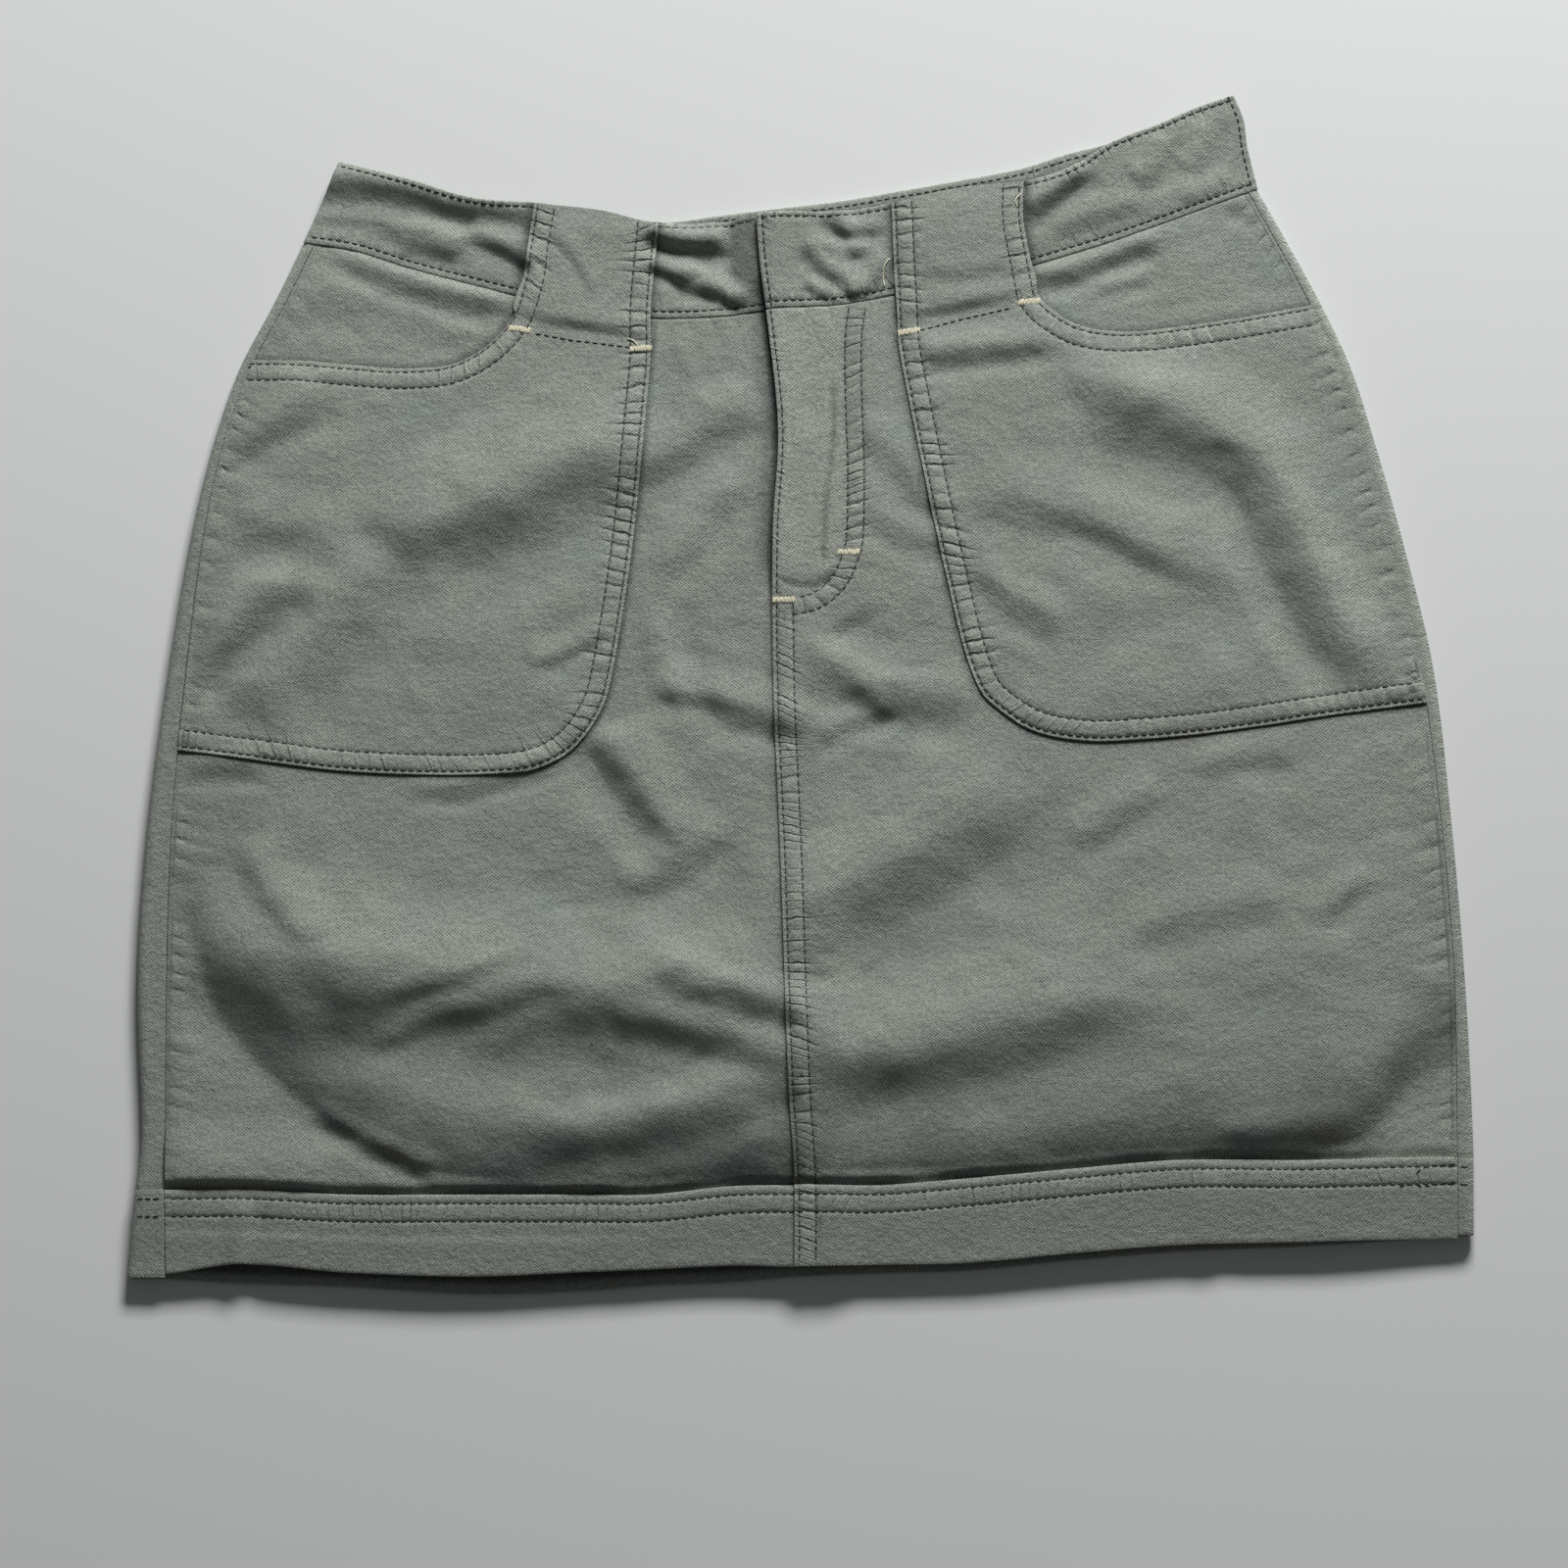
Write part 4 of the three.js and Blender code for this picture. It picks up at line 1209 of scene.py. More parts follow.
def lining_finish(name):
    lining = tuple(bpy.context.scene.skort_cloth.lining)
    finish = Finish(name)
    weave = finish.weave()
    fine = finish.noise(weave, 200.0, 3.0, 0.6)
    soft = finish.noise(weave, 20.0, 3.0)
    dark = tuple(0.7 * part for part in lining)
    colour = finish.blend(finish.limited(0.5 + fine * 0.8 + soft * 0.5), dark, lining)
    return finish.surface(colour, 0.95, fine * 0.15 + soft * 0.3, Specular_IOR_Level=0.2)


def thread_finish(name, colour):
    """Sewing thread: two plies, and slightly shiny."""
    finish = Finish(name)
    place = finish.node("ShaderNodeTexCoord")[3]
    shade = finish.noise(place, 700.0, 2.0)
    pale = tuple(min(1.0, 1.5 * part) for part in colour)
    blended = finish.blend(finish.limited(0.35 + shade * 1.3), tuple(colour), pale)
    return finish.surface(blended, 0.7, finish.noise(place, 2400.0, 1.0) * 0.12)


def finish_called(name, make):
    return bpy.data.materials.get(name) or make(name)


# Making pieces

# What each piece of cloth stands for, what it rests on, and the size and area it was cut to.
SHEETS = {
    "skirt_back": (["back_panel"], [], (0.54, 0.36), 0.17),
    "back_hem_band": (
        ["hem_band_back", "hem_band_side_left", "hem_band_side_right"], [], (0.55, 0.045), 0.0215
    ),
    "waistband_inside": (["waistband_back"], [], (0.37, 0.042), 0.0133),
    "inner_shorts_back": (["shorts_back"], ["skirt_back"], (0.44, 0.30), 0.115),
    "inner_shorts_front": (["shorts_front"], ["inner_shorts_back"], (0.44, 0.30), 0.115),
    "skirt_front_left": (["front_panel_left"], ["inner_shorts_front"], (0.27, 0.36), 0.085),
    "skirt_front_right": (["front_panel_right"], ["skirt_front_left"], (0.26, 0.4), 0.083),
    "patch_pocket_left": (["pocket_left"], ["skirt_front_left"], (0.18, 0.225), 0.026),
    "patch_pocket_right": (["pocket_right"], ["skirt_front_right"], (0.2, 0.22), 0.027),
    "waistband_left": (["waistband_front_left"], ["waistband_inside"], (0.2, 0.039), 0.0072),
    "waistband_right": (["waistband_front_right"], ["waistband_left"], (0.2, 0.042), 0.0071),
    "hem_band_left": (["hem_band_front_left"], ["skirt_front_left"], (0.24, 0.032), 0.0071),
    "hem_band_right": (["hem_band_front_right"], ["skirt_front_right"], (0.25, 0.032), 0.0076),
}
MATERIALS = {"twill": ("washed_twill", twill_finish), "shorts": ("inner_cotton", lining_finish)}
LEFT_SIDE, RIGHT_SIDE = shifted(left_seam, SEAM_GAP / 2), shifted(right_seam, -SEAM_GAP / 2)


def lay_grid(name, columns, rows):
    """Adds a grid with a point for each column and row. Gives it and each point's two numbers."""
    bpy.ops.object.select_all(action="DESELECT")
    across, up = len(columns) - 1, len(rows) - 1
    bpy.ops.mesh.primitive_grid_add(x_subdivisions=across, y_subdivisions=up, size=2)
    piece = bpy.context.object
    piece.name = piece.data.name = name
    flat = points_of(piece) * MM
    i = np.rint((flat[:, 0] + 1) / 2 * across).astype(int)
    j = np.rint((flat[:, 1] + 1) / 2 * up).astype(int)
    return piece, i, j


def points_of(piece):
    """The piece's points, in millimetres."""
    flat = np.empty(3 * len(piece.data.vertices))
    piece.data.vertices.foreach_get("co", flat)
    return flat.reshape(-1, 3) / MM


def put_points(piece, x, y, z):
    piece.data.vertices.foreach_set("co", (np.column_stack([x, y, z]) * MM).ravel())
    piece.data.update()


def leave_out(piece, across, up, cells):
    """Deletes the faces of the cells that a test marks."""
    mesh = piece.data
    for parts in (mesh.vertices, mesh.edges):
        parts.foreach_set("select", np.zeros(len(parts), bool))
    chosen = cells(*np.meshgrid(np.arange(across), np.arange(up)))
    mesh.polygons.foreach_set("select", chosen.ravel())
    bpy.ops.object.mode_set(mode="EDIT")
    bpy.ops.mesh.select_mode(type="FACE")
    bpy.ops.mesh.delete(type="FACE")
    bpy.ops.object.mode_set(mode="OBJECT")


def turn_faces_over():
    bpy.ops.object.mode_set(mode="EDIT")
    bpy.ops.mesh.select_all(action="SELECT")
    bpy.ops.mesh.flip_normals()
    bpy.ops.object.mode_set(mode="OBJECT")


def give_wall(piece, thickness, rounding):
    """Turns the middle surface into a closed wall of cloth with soft rims."""
    wall = piece.modifiers.new("Wall", "SOLIDIFY")
    wall.thickness, wall.offset = thickness * MM, 0
    rim = piece.modifiers.new("Rim", "BEVEL")
    rim.width, rim.segments = rounding * MM, 2
    rim.limit_method, rim.angle_limit = "ANGLE", math.radians(58)
    for modifier in (wall, rim):
        bpy.ops.object.modifier_apply(modifier=modifier.name)
    bpy.ops.object.shade_smooth_by_angle(angle=math.radians(50))


def give_finish(piece, material, relief):
    """Gives the weave its UV map and the cloth its wear, its painted shade and its painted
    highlight.
    """
    mesh = piece.data
    place = points_of(piece)
    plan = place[:, :2] + place[:, 2:] * (0.6, 0.2)
    while mesh.uv_layers:
        mesh.uv_layers.remove(mesh.uv_layers[0])
    layer = mesh.uv_layers.new(name="weave")
    corners = np.empty(len(mesh.loops), int)
    mesh.loops.foreach_get("vertex_index", corners)
    layer.uv.foreach_set("vector", (plan[corners] / 100).ravel())
    wear = relief(place[:, 0], place[:, 1])
    for name in ("worn", "deep", "phase", "pucker", "sharp", "row"):
        values = getattr(wear, name)
        if name not in ("phase", "row"):
            values = np.clip(values, 0, 1)
        mesh.attributes.new(name, "FLOAT", "POINT").data.foreach_set("value", values)
    mesh.materials.clear()
    mesh.materials.append(material)


def finish_piece(piece, thickness, rounding, relief=Relief, slot="twill"):
    """Gives laid cloth its wall and its finish, attaches it to the root and hides the frame's parts
    that it stands for.
    """
    give_wall(piece, thickness, rounding)
    give_finish(piece, finish_called(*MATERIALS[slot]), relief)
    nodes, below, flat, area = SHEETS[piece.name]
    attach(piece, "root")
    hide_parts(*nodes)


def make_piece(name, made, columns, rows, plan, rounding=0.45):
    """Lays out one of the pieces that lie flat or on the front, and finishes it."""
    piece, i, j = lay_grid(name, columns, rows)
    x, y = plan(columns[i], rows[j])
    put_points(piece, x, y, made.height(x, y))
    finish_piece(piece, made.thickness, rounding, made.relief)


class SKORT_OT_shorts(bpy.types.Operator):
    """Make the plain inner shorts, back and front"""

    bl_idname = "skort.shorts"
    bl_label = "Inner shorts"

    def execute(self, context):
        across, up, legs, gap = 78, 78, 22, 3
        plan = patch(
            shifted(left_seam, SHORTS_INSET), shifted(right_seam, -SHORTS_INSET),
            lambda x: SHORTS_HEM + 0 * x, shifted(waist_seam, -SHORTS_DROP),
        )
        middle = PANEL + 0.4 + SHORTS_CLOTH / 2

        def back(x, y):
            return middle + 0 * x

        def front(x, y):
            lift = form_under(x, y) - lift_at_sides(y)
            inside = ease((y - swell_foot(x) - 25) / 40)
            return middle + SHORTS_CLOTH + 0.4 + SHORTS_SWELL * lift * inside

        def between_legs(i, j):
            return (i >= across // 2 - gap) & (i < across // 2 + gap) & (j < legs)

        for name, height in (("inner_shorts_back", back), ("inner_shorts_front", front)):
            piece, i, j = lay_grid(name, np.arange(across + 1), np.arange(up + 1))
            x, y = plan(i / across, j / up)
            put_points(piece, x, y, height(x, y) + 0.1 * crumple(x, y, 81))
            leave_out(piece, across, up, between_legs)
            finish_piece(piece, 0.8, 0.25, slot="shorts")
        return {"FINISHED"}


class SKORT_OT_fronts(bpy.types.Operator):
    """Make the two fronts of the skirt"""

    bl_idname = "skort.fronts"
    bl_label = "Fronts"

    def execute(self, context):
        bottom, top = shifted(band_top, -HEM_LAP), shifted(waist_seam, -SEAM_GAP / 2)
        rows = stops((0.03, 4), (0.11, 24), (1.0, 250))
        left = patch(LEFT_SIDE, lambda y: centre_edge(y) + underlap(y), bottom, top)
        right = patch(centre_edge, RIGHT_SIDE, bottom, top)
        columns = stops((0.66, 72), (0.91, 54), (1.0, 8))
        make_piece("skirt_front_left", FRONT_LEFT, columns, rows, left)
        make_piece("skirt_front_right", FRONT_RIGHT, stops((0.2, 62), (1.0, 84)), rows, right)
        return {"FINISHED"}


class SKORT_OT_pockets(bpy.types.Operator):
    """Make the two patch pockets and their belt tunnels"""

    bl_idname = "skort.pockets"
    bl_label = "Pockets"

    def execute(self, context):
        left = POCKET_LEFT, LEFT_SIDE, tab_left_inner, tab_left_outer
        right = POCKET_RIGHT, RIGHT_SIDE, tab_right_inner, tab_right_outer
        self.make("patch_pocket_left", LEFT_POCKET, *left)
        self.make("patch_pocket_right", RIGHT_POCKET, *right)
        return {"FINISHED"}

    def make(self, name, made, *edges):
        split, mouth, tab_rows = 2 / 3, 105, 42
        columns = stops((split, mouth), (0.93, 42), (1.0, 18))
        rows = stops((0.08, 18), (0.92, 118), (1.0, 18))
        across, body_rows = len(columns) - 1, len(rows) - 1
        body, tab = pocket_plan(*edges, split)
        piece, i, j = lay_grid(name, columns, np.arange(body_rows + tab_rows + 1))
        in_tab = j > body_rows
        i = np.where(in_tab, np.maximum(i, mouth), i)
        on_body = body(columns[i], rows[np.minimum(j, body_rows)])
        on_tab = tab(columns[i], np.maximum(j - body_rows, 0) / tab_rows)
        x, y = (np.where(in_tab, high, low) for high, low in zip(on_tab, on_body))
        put_points(piece, x, y, made.height(x, y))
        leave_out(piece, across, body_rows + tab_rows, lambda i, j: (i < mouth) & (j >= body_rows))
        if x[across] < x[0]:
            turn_faces_over()
        finish_piece(piece, made.thickness, 0.5, made.relief)


class SKORT_OT_waistband(bpy.types.Operator):
    """Make the waistband's two front lengths"""

    bl_idname = "skort.waistband"
    bl_label = "Waistband"

    def execute(self, context):
        bottom, columns, rows = shifted(waist_seam, SEAM_GAP), stops((1.0, 156)), stops((1.0, 40))
        left = patch(left_fold, shifted(centre_edge, WAISTBAND_UNDERLAP), bottom, waist_top)
        right = patch(centre_edge, right_end, bottom, waist_top)
        make_piece("waistband_left", WAISTBAND_LEFT, columns, rows, left, 0.8)
        make_piece("waistband_right", WAISTBAND_RIGHT, columns, rows, right, 0.8)
        return {"FINISHED"}


class SKORT_OT_hem(bpy.types.Operator):
    """Make the front hem bands"""

    bl_idname = "skort.hem"
    bl_label = "Hem bands"

    def execute(self, context):
        rows = stops((0.6, 14), (1.0, 24))
        left = patch(LEFT_SIDE, shifted(centre_edge, -SEAM_GAP), front_hem, band_top)
        right = patch(centre_edge, RIGHT_SIDE, front_hem, band_top)
        make_piece("hem_band_left", HEM_LEFT, stops((1.0, 210)), rows, left, 0.7)
        make_piece("hem_band_right", HEM_RIGHT, stops((1.0, 220)), rows, right, 0.7)
        return {"FINISHED"}


# The back: flat on the surface, and up over both sides to the side seams

class Wrap:
    """One side of a back piece: round the fold and along the lip to the side seam."""

    def __init__(self, fold, lip_end, inward, thickness, bottom, top, lip_middle):
        self.fold, self.lip_end, self.inward = fold, lip_end, inward
        self.half = thickness / 2
        self.lower, self.upper, self.lip_middle = bottom, top, lip_middle

    def radius(self, y):
        return (self.lip_middle(self.fold(y), y) - self.half) / 2

    def floor_edge(self, y):
        return self.fold(y) + self.inward * (self.half + self.radius(y))

    def point(self, x0, y0, turn, settle, up):
        """A place `turn` of the way round the fold, or `settle` of the way along the lip."""
        angle = math.pi * turn
        y = y0
        for _ in range(6):
            x = self.at(y, angle, settle)
            y = y0 + mix(self.lower(x) - self.lower(x0), self.upper(x) - self.upper(x0), up)
        x = self.at(y, angle, settle)
        z = self.half + self.radius(y) * (1 - np.cos(angle))
        return x, y, mix(z, self.lip_middle(x, y), settle)

    def at(self, y, angle, settle):
        bend = self.half + self.radius(y) * (1 - np.sin(angle))
        return mix(self.fold(y) + self.inward * bend, self.lip_end(y), settle)

    def top(self, x, y):
        """The height that stitching on the lip lies at, down round the fold as well."""
        reach = self.half + self.radius(y)
        past = np.clip(self.inward * (self.floor_edge(y) - x) / reach, 0, 1)
        return self.lip_middle(x, y) + self.half - reach * (1 - np.sqrt(1 - past**2))


def back_band_top(x):
    return -185 + 0.024 * x


def wraps(*cut):
    """The left and right sides of a back piece."""
    return (
        Wrap(left_fold, shifted(left_seam, -SEAM_GAP / 2), 1, *cut),
        Wrap(right_fold, shifted(right_seam, SEAM_GAP / 2), -1, *cut),
    )


def wrapped(name, cut, floor_steps, rows, rounding, relief, lip_relief):
    """A back piece: its flat length, and a fold and a lip on either side."""
    turns, lips = 9, 9
    thickness, bottom, top, _ = cut
    left, right = wraps(*cut)
    floor = patch(left.floor_edge, right.floor_edge, bottom, top)
    count = floor_steps + 2 * (turns + lips)
    piece, i, j = lay_grid(name, np.arange(count + 1), rows)
    x, y, z = np.empty((3, len(i)))
    for column in range(count + 1):
        here = i == column
        v = rows[j[here]]
        past_left, past_right = turns + lips - column, column - (turns + lips + floor_steps)
        steps = max(past_left, past_right)
        if steps <= 0:
            place = floor((column - turns - lips) / floor_steps, v)
            x[here], y[here] = place
            z[here] = thickness / 2 + relief(*place)
            continue
        side, share = (left, 0.0) if past_left > 0 else (right, 1.0)
        turn, settle = min(1, steps / turns), max(0, (steps - turns) / lips)
        px, py, pz = side.point(*floor(share, v), turn, settle, v)
        x[here], y[here] = px, py
        z[here] = pz + ease((steps - 0.5 * turns) / turns) * lip_relief(px, py)
    put_points(piece, x, y, z)
    turn_faces_over()
    finish_piece(piece, thickness, rounding, back_wear_and_shadow)


def side_puckers(relief, left_mask=1.0, right_mask=1.0):
    relief.puckers(SIDE_LEFT, 7.5, 21, 0.45, 7, 0.35, left_mask)
    relief.puckers(SIDE_RIGHT, 7.5, 22, 0.45, 7, 0.35, right_mask)
    return relief


def back_wear_and_shadow(x, y):
    relief = side_puckers(Relief(x, y))
    relief.crumple(91, 1.0)
    inside = np.minimum(x - left_fold(y), right_fold(y) - x)
    relief.add(0, 0.35 * bell(inside / 2.5))
    # Painted shadow on the back where the front's hem stands over it.
    shadow_under_front = ease((y - back_hem(x) - 2.5) / 1.5) * ease((inside - 14) / 10)
    relief.add(0, 0, 1.2 * shadow_under_front * ease((-150 - y) / 20))
    return relief


def lip_puckers(x, y):
    masks = (ease(np.abs(seam(y) - x) / 2) for seam in (left_seam, right_seam))
    return side_puckers(Relief(x, y), *masks).height


def plain(x, y):
    return 0 * x


class SKORT_OT_back(bpy.types.Operator):
    """Make the back of the skirt, its waistband and its hem band"""

    bl_idname = "skort.back"
    bl_label = "Back"

    def execute(self, context):
        edge_top = shifted(back_seam, -SEAM_GAP / 2)
        edge_bottom = shifted(back_band_top, SEAM_GAP / 2)
        panel = 0.8, edge_bottom, edge_top, lambda x, y: form_under(x, y) + 0.8
        wrapped(
            "skirt_back", panel, 120, stops((1.0, 110)), 0.3,
            lambda x, y: 0.25 + 0.22 * crumple(x, y, 91), lip_puckers,
        )
        band = HEM, back_hem, shifted(back_band_top, -SEAM_GAP / 2), hem_middle
        wrapped("back_hem_band", band, 150, stops((1.0, 16)), 0.7, plain, plain)
        inside = patch(left_fold, right_end, shifted(back_seam, SEAM_GAP), back_top)
        make_piece("waistband_inside", BACK_BAND, stops((1.0, 150)), stops((1.0, 20)), inside, 0.8)
        return {"FINISHED"}


# Sewing

def stitch_shape():
    """One stitch, 1 long and 1 thick, modelled once. Gives its points and faces."""
    bpy.ops.object.select_all(action="DESELECT")
    bpy.ops.mesh.primitive_uv_sphere_add(
        segments=6, ring_count=5, radius=0.5, rotation=(0, math.pi / 2, 0)
    )
    shape = bpy.context.object
    bpy.ops.object.transform_apply(location=False, rotation=True, scale=False)
    points = points_of(shape) * MM
    points[:, 0] = np.sign(points[:, 0]) * 0.5 * np.abs(2 * points[:, 0]) ** 0.7
    faces = sorted(tuple(face.vertices) for face in shape.data.polygons)
    bpy.data.objects.remove(shape)
    return points, faces


def strands(name, starts, ends, thickness, material):
    """Joins a copy of the stitch from each start to its end into one piece."""
    points, faces = stitch_shape()
    starts, ends = np.array(starts), np.array(ends)
    ahead = ends - starts
    length = np.linalg.norm(ahead, axis=1, keepdims=True)
    ahead = ahead / length
    side = np.cross((0.0, 0.0, 1.0), ahead)
    side /= np.maximum(np.linalg.norm(side, axis=1, keepdims=True), 1e-6)
    placed = (
        ((starts + ends) / 2)[:, None]
        + points[None, :, :1] * (length * ahead)[:, None]
        + points[None, :, 1:2] * thickness * side[:, None]
        + points[None, :, 2:] * thickness * np.cross(ahead, side)[:, None]
    )
    mesh = bpy.data.meshes.new(name)
    count = len(points)
    every = [tuple(v + k * count for v in face) for k in range(len(starts)) for face in faces]
    mesh.from_pydata((placed.reshape(-1, 3) * MM).tolist(), [], every)
    mesh.materials.append(material)
    piece = bpy.data.objects.new(name, mesh)
    bpy.context.collection.objects.link(piece)
    bpy.ops.object.select_all(action="DESELECT")
    piece.select_set(True)
    bpy.context.view_layer.objects.active = piece
    bpy.ops.object.shade_smooth()
    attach(piece, "root")


STITCH_LIFT = 0.08
STITCH_GAP = 0.14


def row(edge, offset, made, pitch, keep):
    """Stitches along one row: where each one starts and ends, on top of the piece."""
    line = evenly(edge.beside(offset), pitch)
    steps = np.diff(line, axis=0)
    begin, end = line[:-1] + STITCH_GAP * steps, line[1:] - STITCH_GAP * steps
    if keep:
        shown = keep(*((begin + end) / 2).T)
        begin, end = begin[shown], end[shown]
    return [np.column_stack([at, made.top(*at.T) + STITCH_LIFT]) for at in (begin, end)]


# The hem's rows of stitching run on over the back's lips, and are sewn twice at the right end.
LEFT_LIP = Seam(across_line(band_top, -249.6, -239.6), -1)
RIGHT_LIP = Seam([(247.6, band_top(247.6)), (251.6, band_top(251.6))], -1)
HEM_BACKSTITCHES = [
    [(231, -185), (233.5, -182.8), (239, -181.6), (246.5, -181.3)],
    [(224.5, -190), (229.5, -188.9), (235, -189.6), (240, -188.6), (246.5, -187.9)],
]
TAB_ROOTS = [(-101, 137.5), (-87, 134.8), (-64, 132)], [(45, 138.5), (61, 143), (80, 147.5)]

# Bar tacks: the middle of each, its tilt in degrees, and the piece that it is sewn on.
BAR_TACKS = [
    (-106.7, 139.1, -8, LEFT_POCKET),
    (-60.7, 131.6, 4, LEFT_POCKET),
    (41.3, 138.2, 8, RIGHT_POCKET),
    (87, 150, 6, RIGHT_POCKET),
    (18.3, 52.3, 0, FRONT_RIGHT),
    (-6.3, 33.8, 0, FRONT_RIGHT),
]
TACK_LENGTH = 8
TACK_WIDTH = 2.6
TACK_THREADS = 17

# Loose thread ends: the piece each lies on and the points it runs through.
LOOSE_ENDS = [
    (WAISTBAND_RIGHT, [(34.2, 167), (32.4, 165), (31.5, 162.4), (31.6, 159), (32, 156.6)]),
    (LEFT_POCKET, [(-65.5, 135.5), (-63.5, 134.8), (-62, 133)]),
    (RIGHT_POCKET, [(84, 192), (82, 189.5), (82.5, 187)]),
]


def across_from(low, high):
    return lambda x, y: (x > low(y)) & (x < high(y))


def up_from(low, high):
    return lambda x, y: (y > low(x)) & (y < high(x))


def off_tab(low, high, shows):
    return lambda x, y: ((x < low(y) - 0.5) | (x > high(y) + 0.5)) & shows(x, y)


def sewn_rows():
    """Every row of stitching, in groups that each become one piece: the edge it follows, how far
    in it lies, the piece that it is sewn on, and where it shows."""
    hem, seam, band_end = shifted(band_top, 0.5), shifted(waist_seam, -0.5), shifted(waist_top, -1)
    left_edge, left_fly = shifted(left_fold, 2), shifted(centre_edge, -0.5)
    left_band = off_tab(tab_left_outer, tab_left_inner, across_from(left_edge, left_fly))
    right_band = off_tab(
        tab_right_inner, tab_right_outer,
        across_from(shifted(centre_edge, 1.5), shifted(right_end, -1)),
    )
    on_band, on_fly = up_from(shifted(waist_seam, 1), band_end), up_from(hem, seam)
    lips = zip((LEFT_LIP, RIGHT_LIP), wraps(HEM, back_hem, back_band_top, hem_middle))

    def below_top(x, y):
        return y < waist_top(x) - 1.5

    def above_front(x, y):
        return (y > waist_top(x) + 1) & across_from(left_edge, shifted(right_end, -2))(x, y)

    return {
        "stitches_pockets": [
            (LEFT_EDGE, TWIN_ROWS, LEFT_POCKET, below_top),
            (LEFT_MOUTH, TWIN_ROWS, LEFT_POCKET, below_top),
            (RIGHT_EDGE, TWIN_ROWS, RIGHT_POCKET, below_top),
            (RIGHT_MOUTH, TWIN_ROWS, RIGHT_POCKET, below_top),
            (Seam(TAB_ROOTS[0]), (0,), LEFT_POCKET, None),
            (Seam(TAB_ROOTS[1]), (0,), RIGHT_POCKET, None),
        ],
        "stitches_waistband": [
            (WAIST, (3,), WAISTBAND_LEFT, left_band),
            (WAIST_TOP, (1.9,), WAISTBAND_LEFT, left_band),
            (WAIST, (3,), WAISTBAND_RIGHT, right_band),
            (WAIST_TOP, (1.9,), WAISTBAND_RIGHT, right_band),
            (FLY, (2.2,), WAISTBAND_RIGHT, on_band),
            (WAISTBAND_END, (2.2,), WAISTBAND_RIGHT, on_band),
            (BACK_TOP, (2.4,), BACK_BAND, above_front),
        ],
        "stitches_fly": [
            (FLY, CENTRE_ROWS[:1], FRONT_RIGHT, on_fly),
            (FLY, CENTRE_ROWS[1:], FRONT_RIGHT, up_from(hem, lambda x: FLY_BOTTOM - 1)),
            (FLY_J, FLY_J_ROWS, FRONT_RIGHT, on_fly),
        ],
        "stitches_hem": [
            (HEM_TOP, HEM_ROWS, HEM_LEFT, across_from(shifted(left_seam, 1), left_fly)),
            (
                HEM_TOP, HEM_ROWS, HEM_RIGHT,
                across_from(shifted(centre_edge, 1), shifted(right_seam, -1)),
            ),
            (FLY, CENTRE_ROWS, HEM_RIGHT, up_from(shifted(front_hem, 1), shifted(band_top, -0.5))),
            *((Seam(spline(points)), (0,), HEM_RIGHT, None) for points in HEM_BACKSTITCHES),
            *((edge, HEM_ROWS, side, None) for edge, side in lips),
        ],
    }


class SKORT_OT_sewing(bpy.types.Operator):
    """Make the rows of stitching, the bar tacks and the loose thread ends"""

    bl_idname = "skort.sewing"
    bl_label = "Sewing"

    def execute(self, context):
        look = context.scene.skort_sewing
        pitch, thickness = look.stitch / MM, look.thickness / MM
        thread = thread_finish("sewing_thread", tuple(look.thread))
        for name, sewn in sewn_rows().items():
            rows = [
                row(edge, offset, made, pitch, keep)
                for edge, offsets, made, keep in sewn for offset in offsets
            ]
            heavier = 1.35 if name == "stitches_waistband" else 1.0
            strands(name, *map(np.vstack, zip(*rows)), heavier * thickness, thread)

        starts, ends = self.tacks()
        for made, points in LOOSE_ENDS:
            line = spline(points, 1.0)
            placed = np.column_stack([line, made.top(*line.T) + 0.3])
            starts.extend(placed[:-1])
            ends.extend(placed[1:] + 0.3 * np.diff(placed, axis=0))
        tack_thread = thread_finish("tack_thread", tuple(look.tack))
        strands("bar_tacks", starts, ends, 0.8 * thickness, tack_thread)
        return {"FINISHED"}

    def tacks(self):
        random = np.random.RandomState(5)
        starts, ends = [], []
        for x, y, tilt, made in BAR_TACKS:
            run = np.array((math.cos(math.radians(tilt)), math.sin(math.radians(tilt))))
            rise = np.array((-run[1], run[0]))
            for along in np.linspace(-0.5, 0.5, TACK_THREADS) * TACK_LENGTH:
                middle = np.array((x, y)) + run * along
                lean = run * random.uniform(-0.1, 0.5)
                reach = rise * TACK_WIDTH * random.uniform(0.42, 0.52)
                for end, side in ((starts, -1), (ends, 1)):
                    place = middle + side * (reach + lean)
                    end.append((*place, float(made.top(*middle)) + random.uniform(0.15, 0.4)))
        return starts, ends


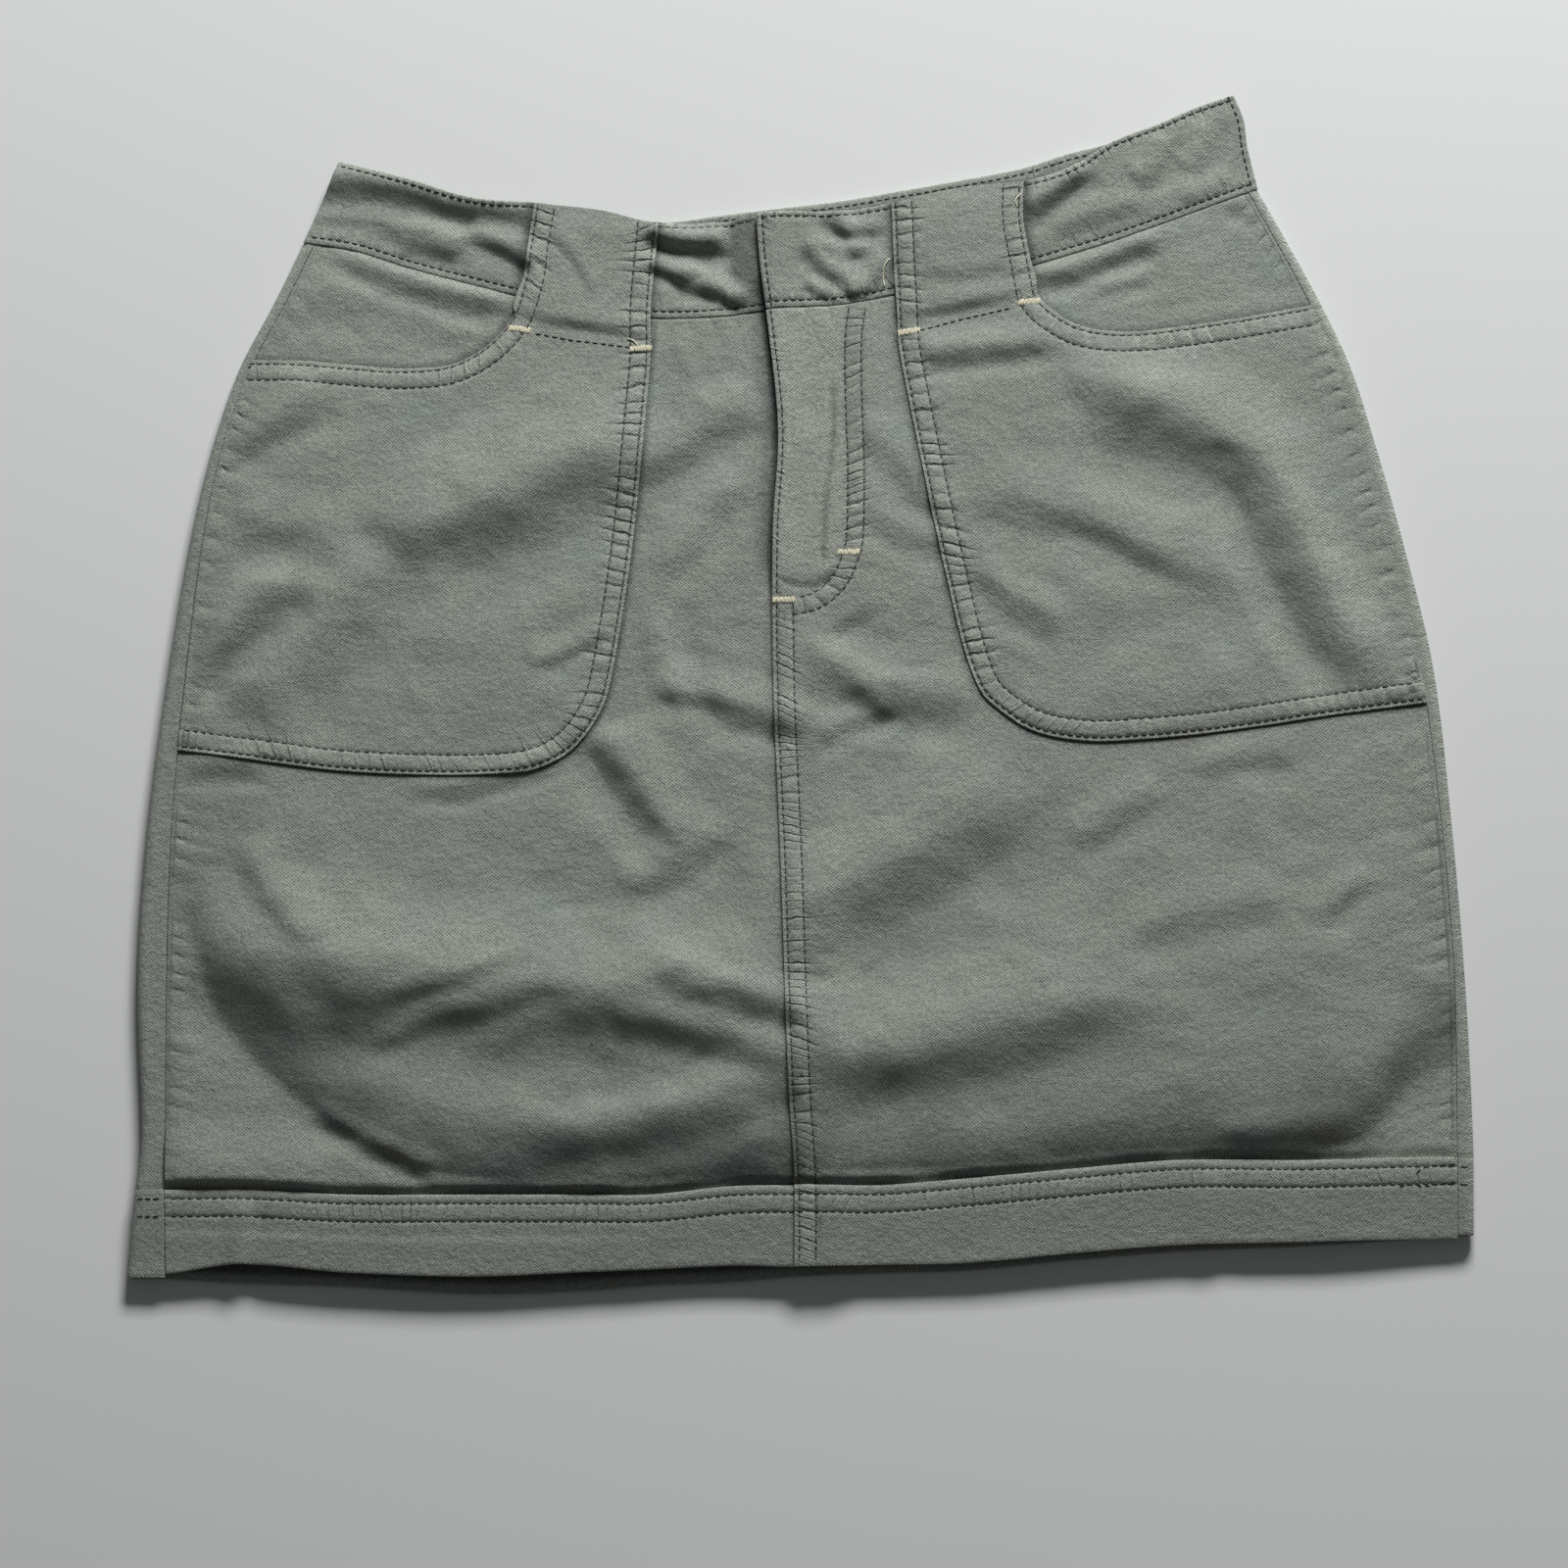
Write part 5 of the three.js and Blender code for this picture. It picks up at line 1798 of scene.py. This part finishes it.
class SKORT_OT_stage(bpy.types.Operator):
    """Make the floor, the light and the camera"""

    bl_idname = "skort.stage"
    bl_label = "Stage"

    LIGHT_FROM, LIGHT_SIZE, LIGHT_POWER = Vector((0.42, 1.95, 1.1)), (1.0, 0.5), 68.0
    SKY, SKY_STRENGTH = (0.96, 0.98, 1.0, 1), 0.085
    LENS, SENSOR = 300, 36

    def execute(self, context):
        look, scene = context.scene.skort_stage, context.scene
        bpy.ops.object.select_all(action="DESELECT")
        bpy.ops.mesh.primitive_plane_add(size=8, location=(0, 0, -0.0002))
        floor = context.object
        floor.name = "floor"
        bpy.ops.object.transform_apply(location=True)
        paint = Finish("plain_floor").surface(tuple(look.floor), 0.95, Specular_IOR_Level=0.1)
        floor.data.materials.append(paint)

        low, high = CAD_BOX
        middle = Vector(((low.x + high.x) / 2 - 0.0063, -0.0357, 0.005))
        lamp = bpy.data.lights.new("window", "AREA")
        lamp.shape, lamp.energy = "RECTANGLE", self.LIGHT_POWER
        lamp.size, lamp.size_y = self.LIGHT_SIZE
        turned = (-self.LIGHT_FROM).to_track_quat("-Z", "Y").to_euler()
        self.place(scene, lamp, middle + self.LIGHT_FROM, turned)

        scene.view_settings.view_transform = "Standard"
        scene.world = bpy.data.worlds.new("soft_studio")
        scene.world.use_nodes = True
        sky = scene.world.node_tree.nodes["Background"].inputs
        sky["Color"].default_value, sky["Strength"].default_value = self.SKY, self.SKY_STRENGTH

        camera = bpy.data.cameras.new("camera")
        camera.lens, camera.sensor_width = self.LENS, self.SENSOR
        camera.clip_start, camera.clip_end = 0.01, 50
        back = Vector((0, -math.cos(look.elevation), math.sin(look.elevation)))
        at = middle + back * (look.width * camera.lens / camera.sensor_width)
        scene.camera = self.place(scene, camera, at, (math.pi / 2 - look.elevation, 0, 0))
        return {"FINISHED"}

    def place(self, scene, made, at, turned):
        placed = bpy.data.objects.new(made.name, made)
        scene.collection.objects.link(placed)
        placed.location, placed.rotation_euler = at, turned
        return placed


class SKORT_PT_sidebar(bpy.types.Panel):
    """Lists the skort's settings and steps"""

    bl_idname = "SKORT_PT_sidebar"
    bl_label = "Skort"
    bl_space_type = "VIEW_3D"
    bl_region_type = "UI"
    bl_category = "Skort"

    def draw(self, context):
        for group in SETTINGS:
            settings, box = getattr(context.scene, group), self.layout.box()
            for name in settings.bl_rna.properties.keys():
                if name not in {"rna_type", "name"}:
                    box.prop(settings, name)
        for step in STEPS:
            self.layout.operator(step.bl_idname)


STEPS = (
    SKORT_OT_back,
    SKORT_OT_shorts,
    SKORT_OT_fronts,
    SKORT_OT_waistband,
    SKORT_OT_hem,
    SKORT_OT_pockets,
    SKORT_OT_sewing,
    SKORT_OT_stage,
)
SETTINGS = {"skort_cloth": SkortCloth, "skort_sewing": SkortSewing, "skort_stage": SkortStage}
CLASSES = (*SETTINGS.values(), *STEPS, SKORT_PT_sidebar)


def register():
    for kind in CLASSES:
        bpy.utils.register_class(kind)
    for name, kind in SETTINGS.items():
        setattr(bpy.types.Scene, name, bpy.props.PointerProperty(type=kind))


def unregister():
    for name in SETTINGS:
        delattr(bpy.types.Scene, name)
    for kind in reversed(CLASSES):
        bpy.utils.unregister_class(kind)


def main():
    register()
    for step in STEPS:
        group, name = step.bl_idname.split(".")
        getattr(getattr(bpy.ops, group), name)()


if __name__ == "__main__":
    main()
